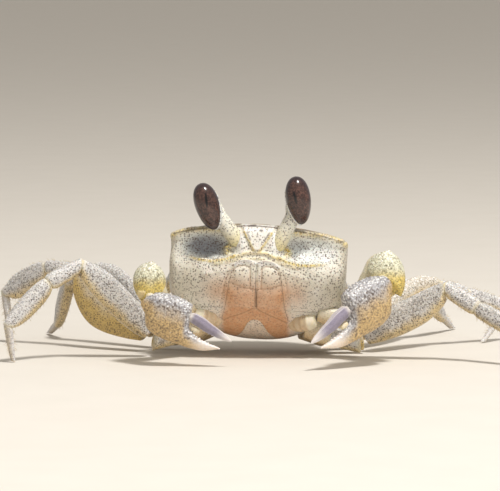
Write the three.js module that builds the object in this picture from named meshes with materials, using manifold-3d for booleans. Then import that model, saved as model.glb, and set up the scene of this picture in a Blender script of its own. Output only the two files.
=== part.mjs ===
// A ghost crab (genus Ocypode), life size, standing alert on eight leg tips with its claws held low.
// Millimetres, +Z up, the floor is z = 0. The crab faces -Y, and its own left side is +X.
// "Depth" runs along Y. Every piece is one closed faceted solid, and neighbours keep a thin joint gap.

import * as THREE from 'three';
import { mergeVertices } from 'three/addons/utils/BufferGeometryUtils.js';
import Module from 'manifold-3d';

// ---- Driving dimensions ----

const CARAPACE_HALF_WIDTH = 12.5; // at the front corners, 25 mm across
const CARAPACE_CROWN = 7.6; // back of the shell above the body's middle
const BELLY_DEPTH = 8.2; // sternum below the body's middle
const FACE_DEPTH = 10.3; // face ahead of the body's middle
const REAR_DEPTH = 10.5; // rear margin behind it
const BODY_HEIGHT = 10.5; // body's middle above the floor
const BODY_PITCH = -11; // degrees, the front is raised
const BODY_ROLL = 2.8; // degrees, the crab's left side is lower
const BODY_YAW = -4; // degrees, the face is turned to the crab's right
const JOINT_GAP = 0.3; // clear slit between neighbouring pieces
const ORIGIN_SHIFT = new THREE.Vector3(0.3, -5.1, 0); // puts the origin under the middle of the leg span
const BODY_CELLS = { across: 20, along: 9, high: 16 };

// ---- Solids and meshes ----

const wasm = await Module();
wasm.setup();

const SHELL = { color: 0xe9dfcd, roughness: 0.42 };
const SPECKLED_LEG = { color: 0xb9b2a6, roughness: 0.4 };
const BELLY = { color: 0xc79a74, roughness: 0.45 };
const CLAW = { color: 0xb3a598, roughness: 0.4 };
const FINGER = { color: 0xb9afc8, roughness: 0.35 };
const TOE = { color: 0xd9d0c4, roughness: 0.4 };
const STALK = { color: 0xd6d3b4, roughness: 0.45 };
const CORNEA = { color: 0x33211f, roughness: 0.12 };

const crab = new THREE.Group();
crab.position.copy(ORIGIN_SHIFT);

function addMesh(parent, name, geometry, finish) {
  const material = new THREE.MeshStandardMaterial({ ...finish, metalness: 0 });
  const mesh = new THREE.Mesh(geometry, material);
  mesh.name = name;
  parent.add(mesh);
  return mesh;
}

function toSolid(geometry) {
  const bare = geometry.clone();
  bare.deleteAttribute('normal');
  bare.deleteAttribute('uv');
  const merged = mergeVertices(bare, 1e-4);
  return new wasm.Manifold(new wasm.Mesh({
    numProp: 3,
    vertProperties: new Float32Array(merged.attributes.position.array),
    triVerts: new Uint32Array(merged.index.array),
  }));
}

function toGeometry(solid) {
  const mesh = solid.getMesh();
  const geometry = new THREE.BufferGeometry();
  geometry.setAttribute('position', new THREE.BufferAttribute(mesh.vertProperties, 3));
  geometry.setIndex(new THREE.BufferAttribute(mesh.triVerts, 1));
  return geometry;
}

// A cut can leave crumbs at its edges: only the largest body is the piece.
function largestBody(solid) {
  const bodies = solid.decompose();
  bodies.sort((a, b) => b.volume() - a.volume());
  return bodies[0];
}

// A closed skin over rings of points, each ring with the same number of points, closed by flat ends.
function loft(rings) {
  const count = rings[0].length;
  const last = rings.length - 1;
  const positions = rings.flat().flatMap((point) => [point.x, point.y, point.z]);
  const faces = [];
  for (let ring = 0; ring < last; ring += 1) {
    for (let i = 0; i < count; i += 1) {
      const a = ring * count + i;
      const b = ring * count + ((i + 1) % count);
      faces.push(a, b, b + count, a, b + count, a + count);
    }
  }
  for (let i = 1; i < count - 1; i += 1) {
    faces.push(0, i + 1, i);
    faces.push(last * count, last * count + i, last * count + i + 1);
  }
  const geometry = new THREE.BufferGeometry();
  geometry.setAttribute('position', new THREE.Float32BufferAttribute(positions, 3));
  geometry.setIndex(signedVolume(positions, faces) < 0 ? faces.reverse() : faces);
  return geometry;
}

function signedVolume(positions, faces) {
  const corner = (index) => new THREE.Vector3().fromArray(positions, 3 * faces[index]);
  let volume = 0;
  for (let i = 0; i < faces.length; i += 3) {
    volume += corner(i).dot(corner(i + 1).cross(corner(i + 2))) / 6;
  }
  return volume;
}

// A straight-sided block: an outline in the plane of two axes, run along the third.
function prism(outline, place, from, to) {
  const ring = (along) => outline.map(([u, v]) => place(u, v, along));
  return toSolid(loft([ring(from), ring(to)]));
}

// The outline moved outward (or inward, when the distance is negative) by the same amount all round.
function offsetOutline(outline, distance) {
  const points = outline.map(([u, v]) => new THREE.Vector2(u, v));
  const turn = THREE.ShapeUtils.isClockWise(points) ? -1 : 1;
  return points.map((point, i) => {
    const before = points[(i + points.length - 1) % points.length];
    const after = points[(i + 1) % points.length];
    const inEdge = point.clone().sub(before).normalize();
    const outEdge = after.clone().sub(point).normalize();
    const inNormal = new THREE.Vector2(inEdge.y, -inEdge.x).multiplyScalar(turn);
    const outNormal = new THREE.Vector2(outEdge.y, -outEdge.x).multiplyScalar(turn);
    const miter = inNormal.clone().add(outNormal).normalize();
    const reach = distance / Math.max(0.35, miter.dot(outNormal));
    return [point.x + miter.x * reach, point.y + miter.y * reach];
  });
}

// ---- The body's form: one rounded box with hollow eye orbits ----

const above = (value) => Math.max(0, value);

function smoothMax(a, b, radius) {
  const blend = Math.max(radius - Math.abs(a - b), 0) / radius;
  return Math.max(a, b) + (blend * blend * radius) / 4;
}

const ORBIT = { x: 7.2, y: -11.8, z: 3.9, wide: 5.4, deep: 3.6, high: 2.9 };

// Negative inside the body, about the distance in millimetres near its surface. Each wall bows in away
// from its middle: a coefficient is the wall's retreat per square millimetre beyond the given line.
function bodyField(x, y, z) {
  const halfWidth = CARAPACE_HALF_WIDTH - 0.022 * above(y + 5) ** 2
    - 0.012 * above(-y - 5) ** 2 - 0.14 * above(-2 - z) ** 2;
  const crown = CARAPACE_CROWN - 0.0105 * x * x - 0.03 * above(-y - 4) ** 2 - 0.03 * above(y - 2) ** 2;
  const face = FACE_DEPTH - 0.01 * x * x - 0.05 * above(1 - z) ** 2;
  const rear = REAR_DEPTH - 0.02 * x * x - 0.04 * above(-z) ** 2;
  const belly = BELLY_DEPTH - 0.055 * above(-y) ** 2 - 0.04 * above(y - 2) ** 2 - 0.012 * x * x;
  let field = smoothMax(Math.abs(x) - halfWidth, -y - face, 1.6);
  field = smoothMax(field, y - rear, 4);
  field = smoothMax(field, -z - belly, 4);
  field = smoothMax(field, z - crown, 1.2);
  const orbit = Math.hypot(
    (Math.abs(x) - ORBIT.x) / ORBIT.wide,
    (y - ORBIT.y) / ORBIT.deep,
    (z - ORBIT.z) / ORBIT.high,
  );
  return smoothMax(field, (1 - orbit) * ORBIT.high, 0.5);
}

const INNER_REACH = 4; // no wall is nearer the body's middle than this
const STRIDE = 0.2;

// How far a ray from the body's middle runs before it leaves the body grown by `growth`.
function rayLength(direction, growth) {
  const outside = (length) => {
    const { x, y, z } = direction;
    return bodyField(x * length, y * length, z * length) > growth;
  };
  let far = INNER_REACH;
  while (!outside(far)) {
    far += STRIDE;
  }
  let near = far - STRIDE;
  for (let step = 0; step < 20; step += 1) {
    const middle = (near + far) / 2;
    if (outside(middle)) {
      far = middle;
    } else {
      near = middle;
    }
  }
  return far;
}

function bodyGeometry(growth) {
  const { across, along, high } = BODY_CELLS;
  const size = [2 * CARAPACE_HALF_WIDTH, FACE_DEPTH + REAR_DEPTH, CARAPACE_CROWN + BELLY_DEPTH];
  const box = new THREE.BoxGeometry(...size, across, along, high);
  box.deleteAttribute('normal');
  box.deleteAttribute('uv');
  const geometry = mergeVertices(box, 1e-4);
  const points = geometry.attributes.position;
  const direction = new THREE.Vector3();
  const halfHeight = size[2] / 2;
  for (let i = 0; i < points.count; i += 1) {
    direction.fromBufferAttribute(points, i);
    // Cells crowd at the height of the orbits and of the leg row.
    direction.z += 0.1 * halfHeight * Math.sin((2 * Math.PI * direction.z) / halfHeight);
    direction.normalize();
    direction.multiplyScalar(rayLength(direction, growth));
    points.setXYZ(i, direction.x, direction.y, direction.z);
  }
  return geometry;
}

const body = new THREE.Group();
body.position.set(0, 0, BODY_HEIGHT);
body.rotation.set(...[BODY_PITCH, BODY_ROLL, BODY_YAW].map(THREE.MathUtils.degToRad), 'ZYX');
body.updateMatrixWorld();
crab.add(body);

// ---- Body plates: the whole form parted by thin cuts ----

// Third maxilliped of the crab's left side, seen from the front (x, z): palp, merus plate, ischium plate.
const MAXILLIPED_OUTLINE = [
  [0, -4.6], [0, 1.3], [0.9, 1.75], [2.4, 1.6], [3.4, 0.9], [3.8, -1], [4.15, -4], [5, -6], [2.5, -5.4],
];
const MAXILLIPED_BACK = -7.4; // its plates lie ahead of this depth
const SEAM_HEIGHT = -4.7; // carapace above, sternum below

// Folded abdomen seen from below, from the blunt telson back to the first segment: [depth, half width].
const ABDOMEN_STATIONS = [
  [-6.2, 0.45], [-5.6, 1.1], [-4.2, 1.6], [-1.5, 2.5], [2, 3.2], [8, 3.5], [12.5, 3.5],
];
// Seen from the side (y, z): a strip under the body and a strip up its rear.
const ABDOMEN_SIDE = [[-8, -12], [13, -12], [13, 2.5], [8.4, 2.5], [8.4, -5.3], [-8, -5.3]];

const frontView = (x, z, y) => new THREE.Vector3(x, y, z);
const topView = (x, y, z) => new THREE.Vector3(x, y, z);
const sideView = (y, z, x) => new THREE.Vector3(x, y, z);

function maxillipedBlock(side, growth) {
  const outline = offsetOutline(MAXILLIPED_OUTLINE, growth).map(([x, z]) => [side * x, z]);
  return prism(outline, frontView, -16, MAXILLIPED_BACK + growth);
}

function abdomenBlock(growth) {
  const right = ABDOMEN_STATIONS.map(([y, halfWidth]) => [-halfWidth, y]);
  const left = ABDOMEN_STATIONS.map(([y, halfWidth]) => [halfWidth, y]).reverse();
  const fromTop = prism(offsetOutline([...right, ...left], growth), topView, -14, 6);
  const fromSide = prism(offsetOutline(ABDOMEN_SIDE, growth), sideView, -6, 6);
  return fromTop.intersect(fromSide);
}

function slab(bottom, top) {
  const square = [[-20, -20], [20, -20], [20, 20], [-20, 20]];
  return prism(square, topView, bottom, top);
}

const wholeBody = toSolid(bodyGeometry(0));
const half = JOINT_GAP / 2;
const plateSockets = maxillipedBlock(-1, half).add(maxillipedBlock(1, half)).add(abdomenBlock(half));
const armour = wholeBody.subtract(plateSockets);

function plate(name, solid, finish) {
  addMesh(body, name, toGeometry(largestBody(solid)), finish);
}

plate('carapace', armour.intersect(slab(SEAM_HEIGHT + half, 20)), SHELL);
plate('sternum', armour.intersect(slab(-20, SEAM_HEIGHT - half)), BELLY);
plate('abdomen', wholeBody.intersect(abdomenBlock(-half)), BELLY);
plate('maxilliped_right', wholeBody.intersect(maxillipedBlock(-1, -half)), BELLY);
plate('maxilliped_left', wholeBody.intersect(maxillipedBlock(1, -half)), BELLY);

// ---- Limb segments: rings of a flattened section along a path ----

const UP = new THREE.Vector3(0, 0, 1);
const radians = THREE.MathUtils.degToRad;

// Unit vector of a limb segment: side is -1 (right) or 1 (left), heading is degrees forward, pitch up.
function heading(side, forward, pitch) {
  const level = Math.cos(radians(pitch));
  return new THREE.Vector3(
    side * Math.cos(radians(forward)) * level,
    -Math.sin(radians(forward)) * level,
    Math.sin(radians(pitch)),
  );
}

const LIMB_SIDES = 10;
const SLIM_SIDES = 8; // coxae and dactyls
const HAND_SIDES = 12;
const SECTION_SQUARENESS = 0.85; // 1 is an ellipse, lower is boxier
const boxy = (value) => Math.sign(value) * Math.abs(value) ** SECTION_SQUARENESS;

// One ring: a rounded flat section, `tall` in the limb's upright plane and `thick` across it. The ring
// lies in the plane through `centre` with normal `facing`, so that neighbours meet on one slanted plane.
function sectionRing(centre, along, facing, tall, thick, count) {
  const across = new THREE.Vector3().crossVectors(along, UP).normalize();
  const upright = new THREE.Vector3().crossVectors(across, along).normalize();
  const ring = [];
  for (let i = 0; i < count; i += 1) {
    const angle = (2 * Math.PI * (i + 0.5)) / count;
    const u = boxy(Math.sin(angle)) * tall;
    const v = boxy(Math.cos(angle)) * thick;
    const offset = upright.clone().multiplyScalar(u).addScaledVector(across, v);
    const slide = -offset.dot(facing) / along.dot(facing);
    ring.push(centre.clone().add(offset).addScaledVector(along, slide));
  }
  return ring;
}

// A limb segment from start to end. Each station is [share of the length, half height, half thickness].
// Where a plane's normal is given, that end leans to the plane and stops half a gap short of it. A bow
// lifts the middle, most of all toward the far end.
function segmentRings(start, end, startPlane, endPlane, stations, count, bow = 0) {
  const along = end.clone().sub(start).normalize();
  return stations.map(([share, tall, thick], i) => {
    let facing = along;
    let slack = 0;
    if (i === 0 && startPlane) {
      facing = startPlane;
      slack = half / along.dot(facing);
    } else if (i === stations.length - 1) {
      facing = endPlane;
      slack = -half / along.dot(facing);
    }
    const centre = start.clone().lerp(end, share).addScaledVector(along, slack);
    centre.addScaledVector(UP, bow * Math.sin(Math.PI * share ** 2));
    return sectionRing(centre, along, facing, tall, thick, count);
  });
}

const bisector = (before, after) => before.clone().add(after).normalize();

// The flank's distance from the middle plane at a given depth and height in the body's frame.
function flankAt(y, z) {
  const stride = 0.05;
  let x = 0;
  while (bodyField(x, y, z) < 0) {
    x += stride;
  }
  return x;
}

const COXA_SINK = 0.9; // how deep a coxa's inner end starts inside the body before it is cut to the flank

// The inner end of a coxa, from its depth and height on the flank in the body's frame.
function coxaStart(side, [y, z]) {
  const inner = new THREE.Vector3(side * (flankAt(y, z) - COXA_SINK), y, z);
  return inner.applyMatrix4(body.matrix);
}

const grownBody = toSolid(bodyGeometry(JOINT_GAP).applyMatrix4(body.matrix));

// The same stations for a stouter or slighter limb.
function thicker(stations, girth) {
  return stations.map(([share, tall, thick]) => [share, tall * girth, thick * girth]);
}

const COXA_STATIONS = [[0, 1.6, 1.4], [0.6, 1.75, 1.5], [1, 1.45, 1.3]];

function addCoxa(name, start, end, endPlane, girth) {
  const rings = segmentRings(start, end, null, endPlane, thicker(COXA_STATIONS, girth), SLIM_SIDES);
  const solid = toSolid(loft(rings)).subtract(grownBody);
  addMesh(crab, name, toGeometry(largestBody(solid)), BELLY);
}

// ---- Walking legs ----

// Each pair: the coxa's place on the flank (depth, height), lengths of coxa, and of ischium, merus,
// carpus, propodus and dactyl, and girth.
const WALKING_PAIRS = {
  2: { flank: [-2.2, -6.4], coxa: 2.5, lengths: [4.2, 15.4, 5.3, 8.4, 5], girth: 1 },
  3: { flank: [1.2, -6.4], coxa: 2.8, lengths: [4.4, 15.8, 5.1, 8.7, 7], girth: 1 },
  4: { flank: [4.4, -6.2], coxa: 3.4, lengths: [4.2, 15.2, 5.2, 8.6, 5.2], girth: 0.96 },
  5: { flank: [7.2, -5.2], coxa: 2.4, lengths: [3.2, 10.5, 4, 6.5, 4.6], girth: 0.72 },
};

// The stance: degrees forward for coxa, merus and foot (propodus with dactyl), degrees up for coxa,
// ischium, merus, carpus and propodus, whether the dactyl leans out (1) or in (-1), and how far the
// merus's broad part bows above the line from the hip's bend to the knee, in millimetres.
const STANCE = {
  right: {
    2: { forward: [10, 18, 23], up: [-25, -15, 45, -27, -44], lean: -1, bow: 0.3 },
    3: { forward: [-6, -30, -34], up: [-23, -8, 34, 2, -29], lean: -1, bow: -1.5 },
    4: { forward: [-17, -36, -70], up: [-22, -6, 36, -24, -50], lean: 1, bow: 0.8 },
    5: { forward: [-55, -68, -70], up: [-14, 0, 40, -24, -38], lean: -1, bow: 0.3 },
  },
  left: {
    2: { forward: [8, 22, 40], up: [-20, -13, 32, -30, -21], lean: -1, bow: -0.2 },
    3: { forward: [-7, -36, -40], up: [-20, -6, 26, -18, -16], lean: -1, bow: 0.5 },
    4: { forward: [-21, -55, -68], up: [-15, -4, 24, -22, -27], lean: 1, bow: 0 },
    5: { forward: [-58, -72, -66], up: [-10, 0, 34, -24, -34], lean: -1, bow: 0.3 },
  },
};

const ISCHIUM_STATIONS = [[0, 1.35, 1.2], [1, 1.5, 1.15]];
const MERUS_STATIONS = [[0.14, 1.9, 1.1], [0.5, 2.7, 1.1], [0.84, 2.2, 1.05], [1, 0.95, 0.95]];
const CARPUS_STATIONS = [[0, 0.9, 0.9], [0.6, 1.15, 1], [1, 0.95, 0.85]];
const PROPODUS_STATIONS = [[0, 0.95, 0.8], [0.25, 1.22, 0.82], [0.7, 1.15, 0.75], [1, 0.72, 0.6]];
const DACTYL_STATIONS = [[0, 0.62, 0.52], [0.35, 0.52, 0.45], [0.75, 0.4, 0.35], [1, 0.28, 0.28]];

function addWalkingLeg(sideName, pair) {
  const side = sideName === 'left' ? 1 : -1;
  const { flank, coxa, lengths, girth } = WALKING_PAIRS[pair];
  const { forward, up, lean, bow } = STANCE[sideName][pair];
  const [ischiumLength, merusLength, carpusLength, propodusLength, dactylLength] = lengths;
  const name = (segment) => `leg${pair}_${sideName}_${segment}`;

  const coxaWay = heading(side, forward[0], up[0]);
  const ischiumWay = heading(side, forward[0], up[1]);
  const merusWay = heading(side, forward[1], up[2]);
  const carpusWay = heading(side, forward[1], up[3]);
  const propodusWay = heading(side, forward[2], up[4]);

  const root = coxaStart(side, flank);
  const hip = root.clone().addScaledVector(coxaWay, coxa + COXA_SINK);
  const ischiumEnd = hip.clone().addScaledVector(ischiumWay, ischiumLength);
  const knee = ischiumEnd.clone().addScaledVector(merusWay, merusLength);
  const wrist = knee.clone().addScaledVector(carpusWay, carpusLength);
  const ankle = wrist.clone().addScaledVector(propodusWay, propodusLength);
  // The dactyl's slope is what brings its tip down to the floor.
  const drop = Math.min(0.99, ankle.z / dactylLength);
  const level = Math.sqrt(1 - drop * drop);
  const dactylWay = new THREE.Vector3(propodusWay.x, propodusWay.y, 0).setLength(level * lean);
  dactylWay.z = -drop;
  const tip = ankle.clone().addScaledVector(dactylWay, ankle.z / drop);

  const hipPlane = bisector(coxaWay, ischiumWay);
  const bendPlane = bisector(ischiumWay, merusWay);
  const kneePlane = bisector(merusWay, carpusWay);
  const wristPlane = bisector(carpusWay, propodusWay);
  const anklePlane = bisector(propodusWay, dactylWay);
  const down = UP.clone().negate();
  const rings = (start, end, startPlane, endPlane, stations, lift) => (
    segmentRings(start, end, startPlane, endPlane, thicker(stations, girth), LIMB_SIDES, lift)
  );

  addCoxa(name('coxa'), root, hip, hipPlane, girth);
  const ischiumRings = rings(hip, ischiumEnd, hipPlane, bendPlane, ISCHIUM_STATIONS);
  const merusRings = rings(ischiumEnd, knee, null, kneePlane, MERUS_STATIONS, bow);
  const carpusRings = rings(knee, wrist, kneePlane, wristPlane, CARPUS_STATIONS);
  const propodusRings = rings(wrist, ankle, wristPlane, anklePlane, PROPODUS_STATIONS);
  const dactylRings = segmentRings(ankle, tip, anklePlane, down, DACTYL_STATIONS, SLIM_SIDES);
  dactylRings.at(-1).forEach((point) => {
    point.z = 0;
  });
  addMesh(crab, name('merus'), loft([...ischiumRings, ...merusRings]), SPECKLED_LEG);
  addMesh(crab, name('carpus'), loft(carpusRings), SPECKLED_LEG);
  addMesh(crab, name('propodus'), loft(propodusRings), SPECKLED_LEG);
  addMesh(crab, name('dactyl'), loft(dactylRings), TOE);
}

for (const sideName of ['right', 'left']) {
  for (const pair of [2, 3, 4, 5]) {
    addWalkingLeg(sideName, pair);
  }
}

// ---- Chelipeds: the claw limbs, the left one the larger ----

const CLAW_FLANK = [-5.4, -4.7]; // the coxa's place on the flank, ahead of the walking legs and higher
const CLAW_COXA = 3.5; // length clear of the flank
const CLAW_MERUS = 8.2; // at size 1, like the tables below
const ELBOW_INSET = 0.8; // elbow plane this far inside the carpus from its middle
const CARPUS_RADII = [2.1, 2, 2.5];

// Degrees forward (over 90 turns back toward the body's middle) and up; `toWrist` runs from the
// carpus's middle to the wrist, in millimetres at size 1.
const CLAW_POSE = {
  right: { size: 1, coxa: [30, -26], merus: [66, 45], palm: [169, -25], toWrist: [0.1, -1.7, -2.1] },
  left: { size: 1.15, coxa: [10, -15], merus: [44, 48], palm: [142, -28], toWrist: [-0.3, -1.9, -0.9] },
};

const CLAW_MERUS_STATIONS = [[0, 1.2, 1.1], [0.3, 1.75, 1.35], [0.82, 2.4, 1.6], [1, 2.5, 1.5]];
// Hand, from the wrist: [distance along, rise, half height, half thickness].
const PALM_STATIONS = [
  [0.2, -0.2, 1.3, 1.1], [1.3, -0.9, 2.2, 1.5], [2.8, -1.5, 2.95, 1.95], [4.5, -1.5, 3.05, 1.9],
  [5.9, -1.35, 2.75, 1.6], [6.5, -1.25, 2.4, 1.3],
];
const FIXED_FINGER_STATIONS = [
  [6.7, -2.75, 1, 1], [8.4, -3, 0.85, 0.8], [10.3, -2.9, 0.55, 0.55], [12.1, -2.1, 0.22, 0.25],
];
const MOVABLE_FINGER_STATIONS = [
  [6.95, 0.2, 0.8, 0.75], [7.6, 0.28, 0.95, 0.8], [9.3, 0.18, 0.75, 0.65],
  [11.2, -0.07, 0.5, 0.45], [12.8, -0.35, 0.2, 0.22],
];
const WRIST_FADE = 3; // the rings turn from the wrist's plane to square across the hand over this length

// Rings of the hand; the first ones lean to the wrist's plane.
function handRings(wrist, palmWay, wristPlane, size, stations, count) {
  const across = new THREE.Vector3().crossVectors(palmWay, UP).normalize();
  const upright = new THREE.Vector3().crossVectors(across, palmWay).normalize();
  return stations.map(([distance, rise, tall, thick]) => {
    const square = Math.min(1, distance / WRIST_FADE);
    const facing = wristPlane.clone().lerp(palmWay, square).normalize();
    const centre = wrist.clone()
      .addScaledVector(palmWay, distance * size)
      .addScaledVector(upright, rise * size);
    return sectionRing(centre, palmWay, facing, tall * size, thick * size, count);
  });
}

// The part of a solid on the far side of a plane.
function beyond(solid, normal, point) {
  return solid.trimByPlane(normal.toArray(), normal.dot(point));
}

function addCheliped(sideName) {
  const side = sideName === 'left' ? 1 : -1;
  const { size, coxa, merus, palm, toWrist } = CLAW_POSE[sideName];
  const name = (segment) => `cheliped_${sideName}_${segment}`;
  const coxaWay = heading(side, ...coxa);
  const merusWay = heading(side, ...merus);
  const palmWay = heading(side, ...palm);
  const root = coxaStart(side, CLAW_FLANK);
  const hip = root.clone().addScaledVector(coxaWay, CLAW_COXA + COXA_SINK);
  const elbow = hip.clone().addScaledVector(merusWay, CLAW_MERUS * size);
  const hipPlane = bisector(coxaWay, merusWay);
  addCoxa(name('coxa'), root, hip, hipPlane, 1);
  const stations = thicker(CLAW_MERUS_STATIONS, size);
  const merusRings = segmentRings(hip, elbow, hipPlane, merusWay, stations, LIMB_SIDES);
  addMesh(crab, name('merus'), loft(merusRings), CLAW);

  const middle = elbow.clone().addScaledVector(merusWay, ELBOW_INSET * size);
  const wrist = new THREE.Vector3(...toWrist).multiplyScalar(size).add(middle);
  const wristWay = new THREE.Vector3(...toWrist).normalize();
  const ovoid = new THREE.SphereGeometry(1, 12, 9);
  ovoid.scale(...CARPUS_RADII.map((radius) => radius * size));
  ovoid.translate(...middle.toArray());
  const elbowCut = elbow.clone().addScaledVector(merusWay, half);
  const wristCut = wrist.clone().addScaledVector(wristWay, -JOINT_GAP);
  const carpus = beyond(beyond(toSolid(ovoid), merusWay, elbowCut), wristWay.clone().negate(), wristCut);
  addMesh(crab, name('carpus'), toGeometry(carpus), CLAW);

  const palmStations = [...PALM_STATIONS, ...FIXED_FINGER_STATIONS];
  const palmRings = handRings(wrist, palmWay, wristWay, size, palmStations, HAND_SIDES);
  addMesh(crab, name('palm'), loft(palmRings), CLAW);
  const fingerRings = handRings(wrist, palmWay, wristWay, size, MOVABLE_FINGER_STATIONS, LIMB_SIDES);
  addMesh(crab, name('finger'), loft(fingerRings), FINGER);
}

addCheliped('right');
addCheliped('left');

// ---- Eyes: a long cornea borne on the outer face of a stalk ----

const CORNEA_RADII = [1.75, 1.75, 3.4];
const STALK_SOCKET = new THREE.Vector3(3.4, -10.1, 4.4); // body's frame, at the inner end of the orbit
// From the stalk's socket to the middle of the cornea, and the cornea's lean toward the crab's left.
const EYE_POSE = {
  right: { reach: [-3.6, -0.4, 4.95], lean: -18 },
  left: { reach: [2.35, -0.4, 6.15], lean: -8 },
};
// The stalk's stations: [distance along the cornea's axis, distances to its inner side and back, radius].
const STALK_STATIONS = [
  [-2.4, 1.3, 0.8, 1], [-0.8, 1.1, 1.6, 0.85], [1.2, 0.6, 2, 0.7], [2.6, 0.3, 1.6, 0.5],
];
const STALK_BASE_RADIUS = 1.15;
const STALK_STEPS = 8;

function addEye(sideName) {
  const side = sideName === 'left' ? 1 : -1;
  const { reach, lean } = EYE_POSE[sideName];
  const socket = new THREE.Vector3(side * STALK_SOCKET.x, STALK_SOCKET.y, STALK_SOCKET.z);
  socket.applyMatrix4(body.matrix);
  const middle = socket.clone().add(new THREE.Vector3(...reach));
  const placed = (growth) => {
    const geometry = new THREE.SphereGeometry(1, 14, 12);
    geometry.rotateX(Math.PI / 2);
    geometry.scale(...CORNEA_RADII.map((radius) => radius + growth));
    geometry.rotateY(radians(lean));
    geometry.translate(...middle.toArray());
    return geometry;
  };
  const axis = UP.clone().applyAxisAngle(new THREE.Vector3(0, 1, 0), radians(lean));
  const inward = new THREE.Vector3(axis.z, 0, -axis.x).multiplyScalar(-side);
  const points = STALK_STATIONS.map(([along, inner, back]) => middle.clone()
    .addScaledVector(axis, along)
    .addScaledVector(inward, inner)
    .add(new THREE.Vector3(0, back, 0)));
  const path = new THREE.CatmullRomCurve3([socket, ...points]);
  const radii = [STALK_BASE_RADIUS, ...STALK_STATIONS.map((station) => station.at(-1))];
  const rings = [];
  for (let i = 0; i <= STALK_STEPS; i += 1) {
    const share = i / STALK_STEPS;
    const place = share * (radii.length - 1);
    const before = Math.min(radii.length - 2, Math.floor(place));
    const radius = THREE.MathUtils.lerp(radii[before], radii[before + 1], place - before);
    const way = path.getTangent(share);
    rings.push(sectionRing(path.getPoint(share), way, way, radius, radius, LIMB_SIDES));
  }
  const stalk = toSolid(loft(rings)).subtract(toSolid(placed(JOINT_GAP))).subtract(grownBody);
  addMesh(crab, `eyestalk_${sideName}`, toGeometry(largestBody(stalk)), STALK);
  const cornea = mergeVertices(placed(0).deleteAttribute('normal').deleteAttribute('uv'), 1e-4);
  addMesh(crab, `eye_${sideName}`, cornea, CORNEA);
}

addEye('right');
addEye('left');

export default crab;
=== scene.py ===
import math

import bmesh
import bpy
import numpy as np
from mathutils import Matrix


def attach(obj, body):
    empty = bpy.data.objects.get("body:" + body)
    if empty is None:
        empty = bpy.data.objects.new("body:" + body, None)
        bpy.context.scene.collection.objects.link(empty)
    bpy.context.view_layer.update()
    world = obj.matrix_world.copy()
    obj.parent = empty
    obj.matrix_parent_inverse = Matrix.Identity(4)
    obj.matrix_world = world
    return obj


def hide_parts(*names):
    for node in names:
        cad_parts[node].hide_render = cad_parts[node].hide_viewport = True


# A ghost crab (genus Ocypode), life size, standing alert on eight leg tips with its claws held low.
# It faces -Y and its own left side is +X. Shapes are worked out in millimetres and made in metres.

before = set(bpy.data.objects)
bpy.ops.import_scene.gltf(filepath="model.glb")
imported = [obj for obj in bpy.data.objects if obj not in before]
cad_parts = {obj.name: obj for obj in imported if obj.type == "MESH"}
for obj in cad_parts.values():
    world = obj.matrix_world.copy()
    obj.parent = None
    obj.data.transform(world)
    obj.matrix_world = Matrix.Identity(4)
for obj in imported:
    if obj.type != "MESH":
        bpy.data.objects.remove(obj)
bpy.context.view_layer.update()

# ---- Camera, floor and light ----
# A long lens looks at the face from five degrees above the floor. The floor is one plain pale sheet,
# and the light is a broad high lamp in front with a softer one at the side.

stage = bpy.context.scene

camera_data = bpy.data.cameras.new("long_lens")
camera_data.lens = 307.7
camera_data.sensor_width = 36
camera_data.clip_start = 0.01
camera_data.clip_end = 100
camera = bpy.data.objects.new("long_lens", camera_data)
stage.collection.objects.link(camera)
lens_pitch, lens_distance = math.radians(5), 0.6
camera.location = (
    -0.0011,
    -0.0151 - lens_distance * math.cos(lens_pitch),
    0.0164 + lens_distance * math.sin(lens_pitch),
)
camera.rotation_euler = (math.radians(90) - lens_pitch, 0, 0)
stage.camera = camera


class Strand:
    """One value, colour or vector on its way through a finish."""

    def __init__(self, socket):
        self.socket = socket

    def node(self, kind, settings, sockets, out=0):
        tree = self.socket.id_data
        made = tree.nodes.new(kind)
        for name, value in settings.items():
            setattr(made, name, value)
        for name, value in sockets.items():
            if isinstance(value, Strand):
                tree.links.new(made.inputs[name], value.socket)
            else:
                made.inputs[name].default_value = value
        return Strand(made.outputs[out])

    def math(self, operation, *values):
        return self.node("ShaderNodeMath", {"operation": operation}, dict(enumerate(values)))

    def __add__(self, other):
        return self.math("ADD", self, other)

    def __sub__(self, other):
        return self.math("SUBTRACT", self, other)

    def __rsub__(self, other):
        return self.math("SUBTRACT", other, self)

    def __mul__(self, other):
        return self.math("MULTIPLY", self, other)

    __radd__ = __add__
    __rmul__ = __mul__


def new_finish(name):
    material = bpy.data.materials.new(name)
    material.use_nodes = True
    material.node_tree.nodes.clear()
    place = material.node_tree.nodes.new("ShaderNodeTexCoord").outputs["Object"]
    return material, Strand(place)


def seal(place, colour, roughness, bump=None, scatter=None, coat=None):
    """The shader. Bump is its strength, depth in mm and height; scatter its weight, radii and size in mm."""
    sockets = {"Base Color": colour, "Roughness": roughness}
    if bump:
        strength, depth, height = bump
        bumps = {"Strength": strength, "Distance": depth / 1000, "Height": height}
        sockets["Normal"] = place.node("ShaderNodeBump", {}, bumps)
    if scatter:
        weight, radii, size = scatter
        sockets["Subsurface Weight"] = weight
        sockets["Subsurface Radius"] = radii
        sockets["Subsurface Scale"] = size / 1000
    if coat:
        sockets["Coat Weight"], sockets["Coat Roughness"] = coat
    shader = place.node("ShaderNodeBsdfPrincipled", {}, sockets)
    tree = place.socket.id_data
    tree.links.new(tree.nodes.new("ShaderNodeOutputMaterial").inputs["Surface"], shader.socket)


def cloud(place, size, detail=2.0, distortion=0.0):
    """Soft noise from 0 to 1; size is that of its patches in millimetres."""
    sockets = {"Vector": place, "Scale": 1000 / size, "Detail": detail, "Distortion": distortion}
    return place.node("ShaderNodeTexNoise", {}, sockets, "Fac")


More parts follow.
